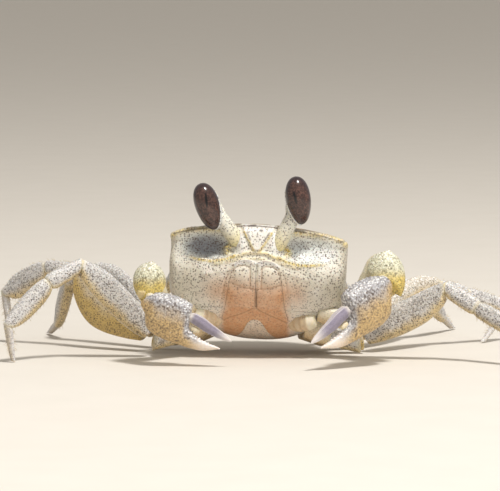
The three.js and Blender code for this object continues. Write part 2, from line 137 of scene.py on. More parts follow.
def fade(value, low, high):
    """0 below low, 1 above high and smooth between; low may be the larger one."""
    sockets = {"Value": value, "From Min": low, "From Max": high}
    return value.node("ShaderNodeMapRange", {"interpolation_type": "SMOOTHSTEP"}, sockets)


def tint(mask, under, over):
    """The colour `under` where the mask is 0 and `over` where it is 1."""
    under, over = (each if isinstance(each, Strand) else (*each, 1) for each in (under, over))
    return mask.node("ShaderNodeMix", {"data_type": "RGBA"}, {0: mask, 6: under, 7: over}, 2)


def coats(colour, *layers):
    """The colour under layers, each a mask and its own colour."""
    for mask, over in layers:
        colour = tint(mask, colour, over)
    return colour


floor_finish, place = new_finish("pale_floor")
grain = cloud(place, 9, 3)
seal(place, tint(grain, (0.66, 0.62, 0.56), (0.70, 0.66, 0.60)), 0.7 + 0.1 * grain)
reach = 12
floor_mesh = bpy.data.meshes.new("floor")
floor_mesh.from_pydata(
    [(-reach, -reach, 0), (reach, -reach, 0), (reach, reach, 0), (-reach, reach, 0)], [], [(0, 1, 2, 3)]
)
floor_mesh.materials.append(floor_finish)
floor = bpy.data.objects.new("floor", floor_mesh)
stage.collection.objects.link(floor)

stage.world = bpy.data.worlds.new("day")
stage.world.use_nodes = True
sky = stage.world.node_tree.nodes["Background"]
sky.inputs["Color"].default_value = (1, 0.95, 0.88, 1)
sky.inputs["Strength"].default_value = 0.5
stage.view_settings.view_transform = "Standard"


def add_lamp(name, place, aim, size, power, colour, glossy=True):
    data = bpy.data.lights.new(name, "AREA")
    data.shape = "DISK"
    data.size = size
    data.energy = power
    data.color = colour
    lamp = bpy.data.objects.new(name, data)
    lamp.location = place
    lamp.visible_glossy = glossy
    away = np.array(place) - np.array(aim)
    flat = math.hypot(away[0], away[1])
    lamp.rotation_euler = (math.atan2(flat, away[2]), 0, math.atan2(away[0], -away[1]))
    stage.collection.objects.link(lamp)


add_lamp("high_lamp", (0.14, -0.24, 0.62), (0, 0, 0.01), 0.1, 4.4, (1, 0.98, 0.95))
add_lamp("side_lamp", (0.45, -0.5, 0.15), (0, 0, 0.01), 0.4, 1.7, (0.96, 0.98, 1), False)

# ---- Body form ----
# The cephalothorax is one rounded box of thin calcified shell with two hollow orbits for the eyes. Its
# face carries the rostrum, orbit margins and granular ridges, all raised from the same moulted skin.

BODY_TILT = (-11, 2.8, -4)  # degrees about X, Y and Z
BODY_HEIGHT = 10.5
ORIGIN_SHIFT = np.array([0.3, -5.1, 0])


def above(value):
    return np.maximum(value, 0)


def smooth_max(a, b, radius):
    blend = above(radius - np.abs(a - b)) / radius
    return np.maximum(a, b) + blend * blend * radius / 4


def body_field(x, y, z):
    """Negative inside the body, in millimetres, in the body's own frame."""
    half_width = 12.5 - 0.022 * above(y + 5) ** 2 - 0.012 * above(-y - 5) ** 2 - 0.14 * above(-2 - z) ** 2
    crown = 7.6 - 0.0105 * x * x - 0.03 * above(-y - 4) ** 2 - 0.03 * above(y - 2) ** 2
    face = 10.3 - 0.01 * x * x - 0.05 * above(1 - z) ** 2
    rear = 10.5 - 0.02 * x * x - 0.04 * above(-z) ** 2
    belly = 8.2 - 0.055 * above(-y) ** 2 - 0.04 * above(y - 2) ** 2 - 0.012 * x * x
    field = smooth_max(np.abs(x) - half_width, -y - face, 1.6)
    field = smooth_max(field, y - rear, 4)
    field = smooth_max(field, -z - belly, 4)
    field = smooth_max(field, z - crown, 1.2)
    orbit = np.sqrt(((np.abs(x) - 7.2) / 5.4) ** 2 + ((y + 11.8) / 3.6) ** 2 + ((z - 3.9) / 2.9) ** 2)
    soft = 0.5 + 1.9 * np.clip((np.abs(x) - 7.5) / 3.5, 0, 1) * np.clip((5.6 - z) / 1.5, 0, 1)
    return smooth_max(field, (1 - orbit) * 2.9, soft)


def turned(tilt):
    """Rotation about X, then Y, then Z, in degrees."""
    (ca, cb, cc), (sa, sb, sc) = np.cos(np.radians(tilt)), np.sin(np.radians(tilt))
    about_x = np.array([[1, 0, 0], [0, ca, -sa], [0, sa, ca]])
    about_y = np.array([[cb, 0, sb], [0, 1, 0], [-sb, 0, cb]])
    about_z = np.array([[cc, -sc, 0], [sc, cc, 0], [0, 0, 1]])
    return about_z @ about_y @ about_x


BODY_TURN = turned(BODY_TILT)


def from_body(points):
    """From the body's frame to the crab's."""
    return points @ BODY_TURN.T + (0, 0, BODY_HEIGHT)


def near(u, v, line, width):
    """1 on a line through the given points and fading out over the width."""
    gap = np.full(u.shape, 1e6)
    for (au, av), (bu, bv) in zip(line, line[1:]):
        du, dv = bu - au, bv - av
        share = np.clip(((u - au) * du + (v - av) * dv) / (du * du + dv * dv), 0, 1)
        gap = np.minimum(gap, np.hypot(u - au - share * du, v - av - share * dv))
    return np.exp(-((gap / width) ** 2))


def drawn(u, v, lines):
    """The sum of several lines, each its points, strength and width."""
    return sum(strength * near(u, v, points, width) for points, strength, width in lines)


def spot(u, v, middle, spread, sharp=2):
    """A round patch, 1 in its middle and fading out over the spread."""
    return np.exp(-np.hypot((u - middle[0]) / spread[0], (v - middle[1]) / spread[1]) ** sharp)


def rise(value, low, high):
    share = np.clip((value - low) / (high - low), 0, 1)
    return share * share * (3 - 2 * share)


# Lines of the crab's left half seen from the front: (distance from the middle plane, height).
ORBIT_TOP = [(3.4, 5.9), (5, 6.1), (6.6, 6.1), (8.4, 6.05), (9.8, 5.95), (10.7, 5.8), (11.6, 5.4), (12.4, 5)]
ORBIT_RIDGE = [(3.2, 2.25), (4.4, 1.75), (6.3, 1.45), (8, 1.6), (9.6, 1.95), (11.6, 2.2)]
MOUTH_RIDGE = [(0, 2.95), (1.4, 2.85), (2.4, 2.4), (3.2, 2.25)]
MOUTH_BAND = [(0, 2.1), (1.05, 2.06), (2.4, 1.88), (3.4, 1.6), (4.6, 1.3), (5.8, 1.05)]
ORBIT_TEETH = [(4.05, 3.75), (4.45, 3.35), (4.2, 2.85)]
ROSTRUM_EDGE = [(1.95, 5.75), (1.2, 4.45), (0.5, 3.3)]
CHEEK_RIDGE = [(3, 0.4), (5, 0.1), (7.2, -0.45)]
PALP_ARC = [(0.3, 1.35), (0.8, 1.65), (1.5, 1.72), (2.4, 1.5), (3, 1.05)]
MERUS_RIM = [(0.8, -2.05), (0.8, 0.65), (1.3, 1.0), (2.3, 0.98), (3, 0.6), (3.3, -0.1)]
MERUS_SEAM = [(0.05, -2.2), (0.8, -2.08), (1.2, -2.05), (2.3, -1.8), (3.6, -1.4)]
CHEEK_SEAM = [(3.6, 0.6), (4.3, -1), (4.75, -3.4), (5.1, -4.5)]
BACK_EDGE = [(0, 6.72), (3.2, 6.62), (6.7, 6.25), (9.5, 5.8), (12, 5.2)]
# Lines raised on the face, or sunk into it, that have the same height all along.
FACE_LINES = [
    (MOUTH_RIDGE, 0.26, 0.26), (MOUTH_BAND, 0.12, 0.2), (ROSTRUM_EDGE, 0.22, 0.16), (CHEEK_RIDGE, 0.08, 0.3),
    (PALP_ARC, 0.22, 0.24), (MERUS_RIM, -0.14, 0.1), (MERUS_SEAM, -0.14, 0.1), (CHEEK_SEAM, -0.08, 0.14),
]
MOUTH_SLIT = [(0.12, 1.2), (0.15, -2), (0.2, -4.4)]
# Grooves of the back seen from above: (distance from the middle plane, depth).
BACK_GROOVES = [
    [(1.9, -6), (2.3, -3.5), (3.1, -1.2), (2.4, 1), (2, 2.4), (2.5, 4.2), (3.2, 6.5)],
    [(0, 2.1), (2, 2.4)],
    [(3.1, -1.2), (5.5, -2.2), (8.5, -3.6)],
    [(2.5, 4.2), (5.5, 5.2), (8.5, 5.6)],
]


def relief(x, y, z):
    """Height of the ridges, lobes and grooves over the body's plain form."""
    side = np.abs(x)
    front = rise(-y, 5, 7.5)
    beads = 1 + 0.3 * np.sin(side * 15)
    rostrum = rise(0.4 + 0.62 * (z - 3.2) - side, -0.2, 0.25) * rise(z, 3, 3.4) * rise(7.4 - z, 0, 1)
    height = drawn(side, z, FACE_LINES) - 0.16 * near(x, z, MOUTH_SLIT, 0.1)
    height += 0.22 * near(side, z, ORBIT_TOP, 0.3) * (1 + 0.2 * np.sin(side * 12))
    height += 0.34 * near(side, z, ORBIT_RIDGE, 0.26) * beads * rise(-side, -10.5, -7.5)
    height += 0.6 * near(side, z, ORBIT_TEETH, 0.36) * (1 + 0.3 * np.sin(z * 11))
    height += 0.4 * rostrum + 0.42 * spot(side, z, (2.25, 4.1), (0.75, 1.25)) * (1 - rostrum)
    height += 0.2 * np.exp(-(((side - 2.05) / 0.95) ** 4) - ((z + 0.55) / 1.15) ** 4)
    height += 0.26 * np.exp(-(((side - 2.2) / 1.6) ** 4) - ((z + 3.5) / 1.25) ** 4)
    height += 0.05 * np.sin(side * 2.1 + 1) * np.sin(z * 1.7 + y) * rise(side, 4, 6)
    height *= front
    top = rise(z, 4.5, 6)
    for groove in BACK_GROOVES:
        height -= 0.2 * top * near(side, y, groove, 0.45)
    return height


def body_lattice(cells, size):
    """Points of a fine box grid and its square faces, each turned outward."""
    corners = []
    for axis in range(3):
        first, second = [other for other in range(3) if other != axis]
        u, v = np.meshgrid(np.arange(cells[first]), np.arange(cells[second]), indexing="ij")
        for end in (0, cells[axis]):
            quad = np.zeros(u.shape + (4, 3), dtype=np.int64)
            for corner, (du, dv) in enumerate(((0, 0), (1, 0), (1, 1), (0, 1))):
                quad[..., corner, axis] = end
                quad[..., corner, first] = u + du
                quad[..., corner, second] = v + dv
            if (end == 0) != (axis == 1):
                quad = quad[..., ::-1, :]
            corners.append(quad.reshape(-1, 4, 3))
    lattice, index = np.unique(np.concatenate(corners).reshape(-1, 3), axis=0, return_inverse=True)
    return (lattice / np.array(cells) - 0.5) * size, index.reshape(-1, 4)


def on_body(direction):
    """Where rays from the body's middle leave it."""
    stride = 0.2
    inside = np.full(len(direction), 4.0)
    walking = np.arange(len(direction))
    while len(walking):
        ahead = direction[walking] * (inside[walking] + stride)[:, None]
        walking = walking[body_field(*ahead.T) < 0]
        inside[walking] += stride
    outside = inside + stride
    for _ in range(16):
        middle = (inside + outside) / 2
        within = body_field(*(direction * middle[:, None]).T) < 0
        inside = np.where(within, middle, inside)
        outside = np.where(within, outside, middle)
    return direction * inside[:, None]


def outward(points):
    """Unit normals of the body's plain form."""
    slope = np.empty_like(points)
    for axis in range(3):
        offset = np.zeros(3)
        offset[axis] = 0.05
        slope[:, axis] = body_field(*(points + offset).T) - body_field(*(points - offset).T)
    return slope / np.linalg.norm(slope, axis=1)[:, None]


def new_piece(name, points, faces):
    """A mesh object from points in millimetres."""
    mesh = bpy.data.meshes.new(name)
    mesh.from_pydata((points / 1000).tolist(), [], faces)
    mesh.shade_smooth()
    piece = bpy.data.objects.new(name, mesh)
    stage.collection.objects.link(piece)
    return piece


def place_piece(piece, material, slot, *nodes):
    piece.data.materials.append(material)
    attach(piece, "root")
    if nodes:
        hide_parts(*nodes)


grid, grid_faces = body_lattice((208, 128, 144), (25, 20.8, 15.8))
body_points = on_body(grid / np.linalg.norm(grid, axis=1)[:, None])
body_points += outward(body_points) * relief(*body_points.T)[:, None]
whole_body = new_piece("whole_body", body_points, grid_faces.tolist())

# ---- Shell plates: carapace, sternum, folded abdomen and the two mouth covers ----
# Each plate is its own stiff sclerite, parted from the next by a hairline of soft skin. The abdomen is
# folded forward under the body, and the third maxillipeds close the mouth like two doors.

SEAM = 0.02  # half the width of the slit between two plates
# Seen from the front (x, z): up the middle, over the palp, down the outer side and back along the foot.
MAXILLIPED_OUTLINE = [
    (0.02, -4.4), (0, 1.1), (0.3, 1.5), (1, 1.76), (1.8, 1.72), (2.5, 1.5), (3.05, 1.1), (3.4, 0.4),
    (3.6, -0.7), (3.85, -2.2), (4.1, -3.9), (4.4, -5.1), (4.75, -6.1), (4.5, -6.3), (3.6, -5.95), (2.6, -5.65),
    (1.6, -5.3), (0.8, -4.95), (0.3, -4.7),
]
# Seen from below, from the blunt telson back: (depth, half width).
ABDOMEN_STATIONS = [
    (-5.65, 0.3), (-5.45, 0.7), (-5, 1.08), (-4.2, 1.42), (-3, 1.85), (-1.6, 2.4), (0, 2.85), (2, 3.2),
    (8, 3.5), (12.5, 3.5),
]
ABDOMEN_SIDE = [(-8, -12), (13, -12), (13, 2.5), (8.4, 2.5), (8.4, -5.3), (-8, -5.3)]


def moved_out(outline, distance):
    """The outline moved outward by the same amount all round."""
    points = np.array(outline, dtype=float)
    before, after = np.roll(points, 1, axis=0), np.roll(points, -1, axis=0)
    area = np.sum(points[:, 0] * after[:, 1] - points[:, 1] * after[:, 0])
    turn = 1 if area > 0 else -1
    edges = [points - before, after - points]
    normals = [np.stack([e[:, 1], -e[:, 0]], 1) * turn / np.linalg.norm(e, axis=1)[:, None] for e in edges]
    miter = normals[0] + normals[1]
    miter /= np.linalg.norm(miter, axis=1)[:, None]
    reach = distance / np.maximum(0.35, np.sum(miter * normals[1], axis=1))
    return points + miter * reach[:, None]


def block(name, outline, axes, low, high):
    """A straight block: an outline in the plane of two axes, run along the third."""
    count = len(outline)
    points = np.zeros((2 * count, 3))
    points[:, axes[0]] = np.tile(np.array(outline)[:, 0], 2)
    points[:, axes[1]] = np.tile(np.array(outline)[:, 1], 2)
    points[:, 3 - axes[0] - axes[1]] = np.repeat([low, high], count)
    faces = [(i, (i + 1) % count, count + (i + 1) % count, count + i) for i in range(count)]
    faces += [tuple(range(count)), tuple(range(count, 2 * count))]
    piece = new_piece(name, points, faces)
    mesh = bmesh.new()
    mesh.from_mesh(piece.data)
    bmesh.ops.recalc_face_normals(mesh, faces=mesh.faces)
    mesh.to_mesh(piece.data)
    mesh.free()
    return piece


def cut(name, piece, *steps):
    """A new mesh object: the piece after the given cuts, each an operation with another solid."""
    result = bpy.data.objects.new(name, piece.data.copy())
    stage.collection.objects.link(result)
    for operation, other in steps:
        knife = result.modifiers.new(operation, "BOOLEAN")
        knife.operation = operation
        knife.object = other
        knife.solver = "MANIFOLD"
    solid = result.evaluated_get(bpy.context.evaluated_depsgraph_get())
    mesh = bpy.data.meshes.new_from_object(solid)
    result.modifiers.clear()
    result.data = mesh
    mesh.name = name
    return result


def maxilliped_block(side, growth):
    outline = moved_out([(side * u, v) for u, v in MAXILLIPED_OUTLINE], growth)
    return block("maxilliped_cut", outline, (0, 2), -16, -4.4 + growth)


def abdomen_block(growth):
    right = [(-half, y) for y, half in ABDOMEN_STATIONS]
    left = [(half, y) for y, half in reversed(ABDOMEN_STATIONS)]
    from_top = block("abdomen_top", moved_out(right + left, growth), (0, 1), -14, 6)
    from_side = block("abdomen_side", moved_out(ABDOMEN_SIDE, growth), (1, 2), -6, 6)
    both = cut("abdomen_cut", from_top, ("INTERSECT", from_side))
    bpy.data.objects.remove(from_top)
    bpy.data.objects.remove(from_side)
    return both


wide = [(-20, -20), (20, -20), (20, 20), (-20, 20)]
upper = block("upper_half", wide, (0, 1), -4.7 + SEAM, 20)
lower = block("lower_half", wide, (0, 1), -20, -4.7 - SEAM)
mouth_gaps = [maxilliped_block(side, SEAM) for side in (-1, 1)]
mouth_doors = [maxilliped_block(side, -SEAM) for side in (-1, 1)]
tail_gap, tail = abdomen_block(SEAM), abdomen_block(-SEAM)
parting = [("DIFFERENCE", gap) for gap in mouth_gaps + [tail_gap]]
plates = {
    "carapace": cut("carapace_shell", whole_body, *parting, ("INTERSECT", upper)),
    "sternum": cut("sternum_shell", whole_body, *parting, ("INTERSECT", lower)),
    "abdomen": cut("abdomen_shell", whole_body, ("INTERSECT", tail)),
    "maxilliped_right": cut("maxilliped_right_shell", whole_body, ("INTERSECT", mouth_doors[0])),
    "maxilliped_left": cut("maxilliped_left_shell", whole_body, ("INTERSECT", mouth_doors[1])),
}
for tool in [whole_body, upper, lower, *mouth_gaps, *mouth_doors, tail_gap, tail]:
    bpy.data.objects.remove(tool)


def mark(mesh, masks):
    """Stores each mask as a value on the mesh's points."""
    for name, values in masks.items():
        layer = mesh.attributes.new(name, "FLOAT", "POINT")
        layer.data.foreach_set("value", np.ascontiguousarray(values, dtype=np.float32).ravel())


def points_of(mesh):
    """The mesh's points in millimetres."""
    flat = np.empty(3 * len(mesh.vertices))
    mesh.vertices.foreach_get("co", flat)
    return flat.reshape(-1, 3) * 1000


YELLOW_LINES = [
    (ORBIT_TOP, 0.7, 0.42), (MOUTH_RIDGE, 0.6, 0.26), (ORBIT_TEETH, 1, 0.42), (ROSTRUM_EDGE, 0.95, 0.15),
    (MOUTH_BAND, 0.35, 0.2),
]
SEAM_LINES = [
    (MERUS_RIM, 0.45, 0.12), (MERUS_SEAM, 0.45, 0.12), (MAXILLIPED_OUTLINE[2:], 0.3, 0.14),
    (CHEEK_SEAM, 0.25, 0.12),
]
PALE_LINES = [(PALP_ARC, 1, 0.24), ([(0.5, 1.35), (1.3, 1.62), (2.1, 1.4)], 1, 0.26)]
INK_LINES = [(BACK_EDGE, 0.9, 0.12), ([(1.6, 5.75), (1, 4.65)], 0.8, 0.11)]
INK_STROKES = [
    ([(0.35, 6.1), (0.5, 6.05)], 1, 0.2), ([(-1.1, 6.75), (-0.5, 6.8)], 1, 0.18),
    ([(0.16, -2.3), (0.2, -4.5)], 0.8, 0.09), ([(3.1, 6.6), (3.3, 6.6)], 1, 0.25),
]


def body_masks(x, y, z):
    side = np.abs(x)
    front = rise(-y, 5, 7.5)
    doors = rise(-side, -5.4, -3.3)
    rostrum = rise(0.3 + 0.6 * (z - 3.2) - side, -0.2, 0.25) * rise(z, 3, 3.4)
    pale = 0.5 * rostrum + 0.8 * spot(side, z, (2.25, 4.1), (0.9, 1.5)) + drawn(side, z, PALE_LINES)
    flush = 0.88 * rise(-z, -0.8, 3.6) * doors + 0.6 * spot(side, z, (5.4, -2.5), (1.8, 1.7))
    face = {
        "yellow": drawn(side, z, YELLOW_LINES) + near(side, z, ORBIT_RIDGE, 0.2) * rise(-side, -10.5, -8),
        "ink": drawn(side, z, INK_LINES) + drawn(x, z, INK_STROKES),
        "seam": drawn(side, z, SEAM_LINES),
        # The spot at x = 9.3, in the left orbit only, is a painted highlight; the rest of this mask is the
        # shell's own white.
        "pale": pale + 0.7 * spot(x, z, (9.3, 3.4), (1.9, 1.2), 4),
        "cool": spot(side, z, (7.4, 3.7), (4.2, 2.1), 4),
        # Painted shadow: a dark patch in the right orbit and a fainter one in the left orbit, where each eye's
        # shadow falls.
        "shade": spot(x, z, (-7.3, 3.7), (2.8, 1.6), 6) + 0.45 * spot(x, z, (5.6, 4.3), (1.7, 0.9), 4),
    }
    return {name: np.clip(values, 0, 1) * front for name, values in face.items()} | {
        "flush": np.clip(flush + 0.9 * rise(-z, 4.4, 6.2) * rise(-side, -7.2, -2.2), 0, 1),
        "bare": rise(-z, 0.5, 4.5) * (1 - 0.5 * doors),
        "back": rise(z, 5.6, 6.9) * rise(y, -9.6, -8.2),
        # Painted shading: the side walls behind the face are made darker.
        "flank": rise(side, 11, 12.2) * rise(y, -9.4, -7.6),
    }


def finish_body(name, node, slot):
    piece = plates[node]
    mesh = piece.data
    points = points_of(mesh)
    masks = body_masks(*points.T)
    if node == "abdomen":
        masks["flush"] = masks["flush"] * 0.35
    mark(mesh, masks)
    mesh.vertices.foreach_set("co", ((from_body(points) + ORIGIN_SHIFT) / 1000).ravel())
    mesh.set_sharp_from_angle(angle=math.radians(60))
    mesh.materials.clear()
    place_piece(piece, shell_finish, slot, node)


def values_of(place, names):
    """Masks stored on the mesh's points."""
    return [place.node("ShaderNodeAttribute", {"attribute_name": name}, {}, "Fac") for name in names.split()]


def cells_of(place, spacing, out="Distance", randomness=1.0):
    """Cells of about the spacing in millimetres, each with its own middle and random colour."""
    sockets = {"Vector": place, "Scale": 1000 / spacing, "Randomness": randomness}
    return place.node("ShaderNodeTexVoronoi", {}, sockets, out)


def specks(place, spacing, size, warp=0.0):
    """Round spots, 1 inside: one in each cell of the spacing, most smaller than the given size, in mm."""
    distance = cells_of(place, spacing, "Distance", 0.9)
    hue = cells_of(place, spacing, "Color", 0.9)
    pick = hue.node("ShaderNodeSeparateColor", {}, {"Color": hue}, "Red")
    ragged = distance + warp * (cloud(place, spacing * 0.5, 1) - 0.5)
    radius = (0.5 + 0.5 * pick) * (size / spacing / 2)
    return fade(ragged - radius, 0.07, -0.05)


shell_finish, place = new_finish("speckled_shell")
yellow, ink, seam, pale, flush, cool = values_of(place, "yellow ink seam pale flush cool")
shade, back, flank, bare = values_of(place, "shade back flank bare")
broad, fine = cloud(place, 2.6, 3), cloud(place, 0.4, 3)
crowd = fade(cloud(place, 3.2, 2), 0.3, 0.62)
dots = specks(place, 0.31, 0.26, 0.3) * (1 - 0.5 * flush) * (0.7 + 0.3 * crowd) * (1 - 0.3 * bare)
small_dots = specks(place, 0.22, 0.17, 0.3) * (0.35 + 0.65 * cool) * (1 - 0.8 * flush)
blush = tint(fade(fine, 0.3, 0.7), (0.55, 0.27, 0.13), (0.62, 0.37, 0.21))
mottle = fade(broad + 0.5 * fine, 0.62, 0.86)
colour = coats(
    tint(broad, (0.60, 0.55, 0.44), (0.77, 0.74, 0.66)),
    (fade(broad, 0.55, 0.7) * 0.6, (0.84, 0.81, 0.74)),
    (bare * 0.55, (0.82, 0.79, 0.73)),
    (flush, blush),
    (cool, (0.66, 0.68, 0.65)),
    # The shell's own white parts, and a painted highlight in the left orbit.
    (pale * 0.85, (0.77, 0.755, 0.73)),
    # Painted shadow of each eye in its orbit.
    (shade * (0.7 + 0.35 * fine), (0.13, 0.135, 0.155)),
    # Painted shading on the side walls.
    (flank * 0.6, (0.48, 0.43, 0.33)),
    (yellow * fade(fine, 0.15, 0.7), (0.66, 0.50, 0.10)),
    (back, tint(mottle, (0.42, 0.33, 0.21), (0.15, 0.11, 0.07))),
    (dots * 0.85, (0.085, 0.055, 0.045)),
    (small_dots * 0.7, (0.10, 0.07, 0.055)),
    (seam * 0.7, (0.44, 0.25, 0.14)),
    (ink * 0.9, (0.06, 0.035, 0.025)),
)
granules = specks(place, 0.3, 0.3)
seal(
    place, colour, 0.34 + 0.22 * fine + 0.1 * back,
    (0.6, 0.04, granules * (0.4 + back) + fine * 0.8), (0.25, (1, 0.6, 0.4), 0.5),
)
for node in plates:
    slot = "shell" if node == "carapace" else "belly_shell"
    finish_body(node + "_shell", node, slot)

# ---- Eyes: stalks and corneas ----
# Each eyestalk rises from the inner end of its orbit and carries a long faceted cornea on its outer
# face. The stalk is thin pale cuticle, softer and yellow at its root, and laps round the cornea's rim.


def ease(rows, at):
    """Rows of (place, value, value...) read at any places along smooth curves through them."""
    rows = np.array(rows, dtype=float)
    places, values = rows[:, 0], rows[:, 1:]
    secant = np.diff(values, axis=0) / np.diff(places)[:, None]
    slope = np.vstack([secant[:1], (secant[:-1] + secant[1:]) / 2, secant[-1:]])
    slope[1:-1][secant[:-1] * secant[1:] <= 0] = 0
    i = np.clip(np.searchsorted(places, at) - 1, 0, len(places) - 2)
    step = (places[i + 1] - places[i])[:, None]
    t = (at - places[i])[:, None] / step
    rising, falling = t * t * (3 - 2 * t), 1 - t * t * (3 - 2 * t)
    bend = step * t * (1 - t) * ((1 - t) * slope[i] - t * slope[i + 1])
    return values[i] * falling + values[i + 1] * rising + bend


def unit(vector):
    return vector / np.linalg.norm(vector, axis=-1, keepdims=True)


def rounded(rings, dome=0.25, turns=6):
    """The rings with both ends closed by shallow domes."""
    def cap(ring, inner):
        centre = ring.mean(axis=0)
        way = unit(centre - inner.mean(axis=0))
        height = min(dome, 0.8 * np.linalg.norm(ring - centre, axis=1).mean())
        swing = np.linspace(0, math.pi / 2, turns)[1:]
        return [centre + (ring - centre) * max(math.cos(a), 0.02) + way * height * math.sin(a) for a in swing]
    first, last = cap(rings[0], rings[1]), cap(rings[-1], rings[-2])
    return np.array(first[::-1] + list(rings) + last), turns - 1


def skin(name, parts):
    """One mesh from closed lofts, each its rings of points and its masks."""
    points, faces, masks = [], [], {}
    for rings, marks in parts:
        closed, extra = rounded(rings)
        count, sides = closed.shape[:2]
        base = sum(len(p) for p in points)
        at = base + np.arange(count * sides).reshape(count, sides)
        next_at = np.roll(at, -1, axis=1)
        quads = np.stack([at[:-1], next_at[:-1], next_at[1:], at[1:]], axis=-1).reshape(-1, 4).tolist()
        part_faces = quads + [at[0][::-1].tolist(), at[-1].tolist()]
        middle = closed.mean(axis=(0, 1))
        a, b, c = (closed.reshape(-1, 3)[np.array(quads)[:, i] - base] - middle for i in (0, 1, 2))
        if np.sum(a * np.cross(b, c)) < 0:
            part_faces = [face[::-1] for face in part_faces]
        points.append(closed.reshape(-1, 3))
        faces += part_faces
        for key, values in marks.items():
            wide = np.broadcast_to(values, rings.shape[:2])
            masks.setdefault(key, []).append(np.pad(wide, ((extra, extra), (0, 0)), mode="edge").ravel())
    piece = new_piece(name, np.concatenate(points) + ORIGIN_SHIFT, faces)
    mark(piece.data, {key: np.concatenate(values) for key, values in masks.items()})
    return piece


def shell(node, parts, material, slot):
    """The visible shell of one solid of a limb."""
    place_piece(skin(node + "_shell", parts), material, slot, node)


CORNEA_RADII = 1.75, 3.4  # across and along
EYES = {
    "right": {"side": -1, "reach": (-3.6, -0.4, 4.95), "lean": -18, "slit": (1.0, 0.12, 1.05, 0.45)},
    "left": {"side": 1, "reach": (2.35, -0.4, 6.15), "lean": -8, "slit": (0.55, -0.42, 1.0, -0.21)},
}
# The stalk's path behind the cornea: up, inward and back from its middle. The radii start at the root.
STALK_STATIONS = [(-2.4, 1.3, 0.8), (-0.8, 1.1, 1.6), (1.2, 0.6, 2), (2.6, 0.3, 1.6)]
STALK_RADII = [1.2, 1.2, 1.02, 0.84, 0.66, 0.45]
STALK_RINGS = 90


def spline(points, count):
    """Points along a smooth curve through the given ones."""
    points = np.array(points, dtype=float)
    ends = np.vstack([2 * points[0] - points[1], points, 2 * points[-1] - points[-2]])
    at = np.linspace(0, len(points) - 1, count)
    i = np.minimum(at.astype(int), len(points) - 2)
    t = (at - i)[:, None]
    a, b, c, d = (ends[i + k] for k in range(4))
    return 0.5 * (2 * b + (c - a) * t + (2 * a - 5 * b + 4 * c - d) * t**2 + (3 * b - a - 3 * c + d) * t**3)


def tube(path, radii, sides=40):
    """Round rings along a path; the path's parting plane is the upright one."""
    way = unit(np.gradient(path, axis=0))
    across = unit(np.cross(way, (0, 0.3, 1)))
    up = np.cross(across, way)
    angle = np.arange(sides) / sides * 2 * math.pi
    ring = np.cos(angle)[None, :, None] * across[:, None] + np.sin(angle)[None, :, None] * up[:, None]
    return path[:, None] + ring * radii[:, None, None]


cornea_finish, place = new_finish("cornea")
slit, rim = values_of(place, "slit rim")
mottle = cloud(place, 0.35, 4, 1.5)
colour = coats(
    tint(fade(mottle, 0.4, 0.66), (0.030, 0.015, 0.013), (0.105, 0.052, 0.040)),
    (rim * 0.75, (0.02, 0.011, 0.016)),
    (slit, (0.002, 0.002, 0.003)),
)
facets = cells_of(place, 1 / 14)
seal(place, colour, 0.16 + 0.1 * mottle, (0.15, 0.01, facets), coat=(0.3, 0.06))

stalk_finish, place = new_finish("eyestalk_skin")
root, rim = values_of(place, "root rim")
fine = cloud(place, 0.6, 3)
flecks = specks(place, 0.26, 0.22, 0.4) * (1 - 0.7 * root)
colour = coats(
    tint(fine, (0.58, 0.56, 0.47), (0.76, 0.73, 0.66)),
    (root * 0.8, (0.70, 0.58, 0.20)),
    (rim * 0.7, (0.62, 0.62, 0.60)),
    (flecks * 0.85, (0.07, 0.055, 0.05)),
)
seal(place, colour, 0.35 + 0.15 * fine, (0.4, 0.04, fine), (0.35, (1, 0.8, 0.5), 0.6))

for side_name, eye in EYES.items():
    side = eye["side"]
    lean = math.radians(eye["lean"])
    socket = from_body(np.array([side * 3.4, -10.1, 4.4]))
    middle = socket + eye["reach"]
    axis = np.array([math.sin(lean), 0, math.cos(lean)])
    inward = np.array([axis[2], 0, -axis[0]]) * -side
    back = np.array([0, 1, 0])

    # The cornea is an egg, a little fuller above its middle.
    swing = np.linspace(0.02, math.pi - 0.02, 90)
    turn = np.arange(120) / 120 * 2 * math.pi
    height = -np.cos(swing)
    radius = np.sin(swing) ** 0.92 * (1 + 0.1 * height)
    wide, tall = CORNEA_RADII
    ring = np.cos(turn)[None, :, None] * inward + np.sin(turn)[None, :, None] * back
    offset = (height * tall)[:, None, None] * axis + (radius * wide)[:, None, None] * ring
    inner, behind, upper = offset @ inward, offset @ back, offset @ axis
    along, off, half, slant = eye["slit"]
    span = (upper - along) / half
    width = 0.22 * np.sqrt(above(1 - span**2)) + 0.001
    slit = rise(-np.abs(-side * inner - off - slant * span * 0.5), -width, -width + 0.07) * (np.sin(turn) < 0)
    rim = rise(np.hypot(inner / wide, upper / tall), 0.72, 0.98)
    cornea = skin(f"cornea_{side_name}", [(middle + offset, {"slit": slit, "rim": rim})])
    place_piece(cornea, cornea_finish, "cornea", f"eye_{side_name}")

    # The stalk, and the thin lip with which it holds the cornea's inner side, back and foot.
    path = spline([socket + inward * 1.7 + (0, 1.9, -0.1), socket + inward * 0.5 + (0, 0.85, 0.1)] + [
        middle + axis * a + inward * i + back * b for a, i, b in STALK_STATIONS
    ], STALK_RINGS)
    radii = np.interp(np.linspace(0, 5, STALK_RINGS), range(6), STALK_RADII)
    share = np.linspace(0, 1, STALK_RINGS)[:, None]
    grip = rise(0.75 * (inner + behind) / wide - 0.5 * upper / tall, 0.42, 0.62)[..., None]
    lip = middle + offset * (0.95 + 0.1 * grip)
    eyestalk = skin(f"eyestalk_{side_name}_skin", [
        (tube(path, radii), {"root": 1 - rise(share, 0.12, 0.36), "rim": 0}),
        (lip, {"root": 0, "rim": 1}),
    ])
    place_piece(eyestalk, stalk_finish, "eyestalk", f"eyestalk_{side_name}")

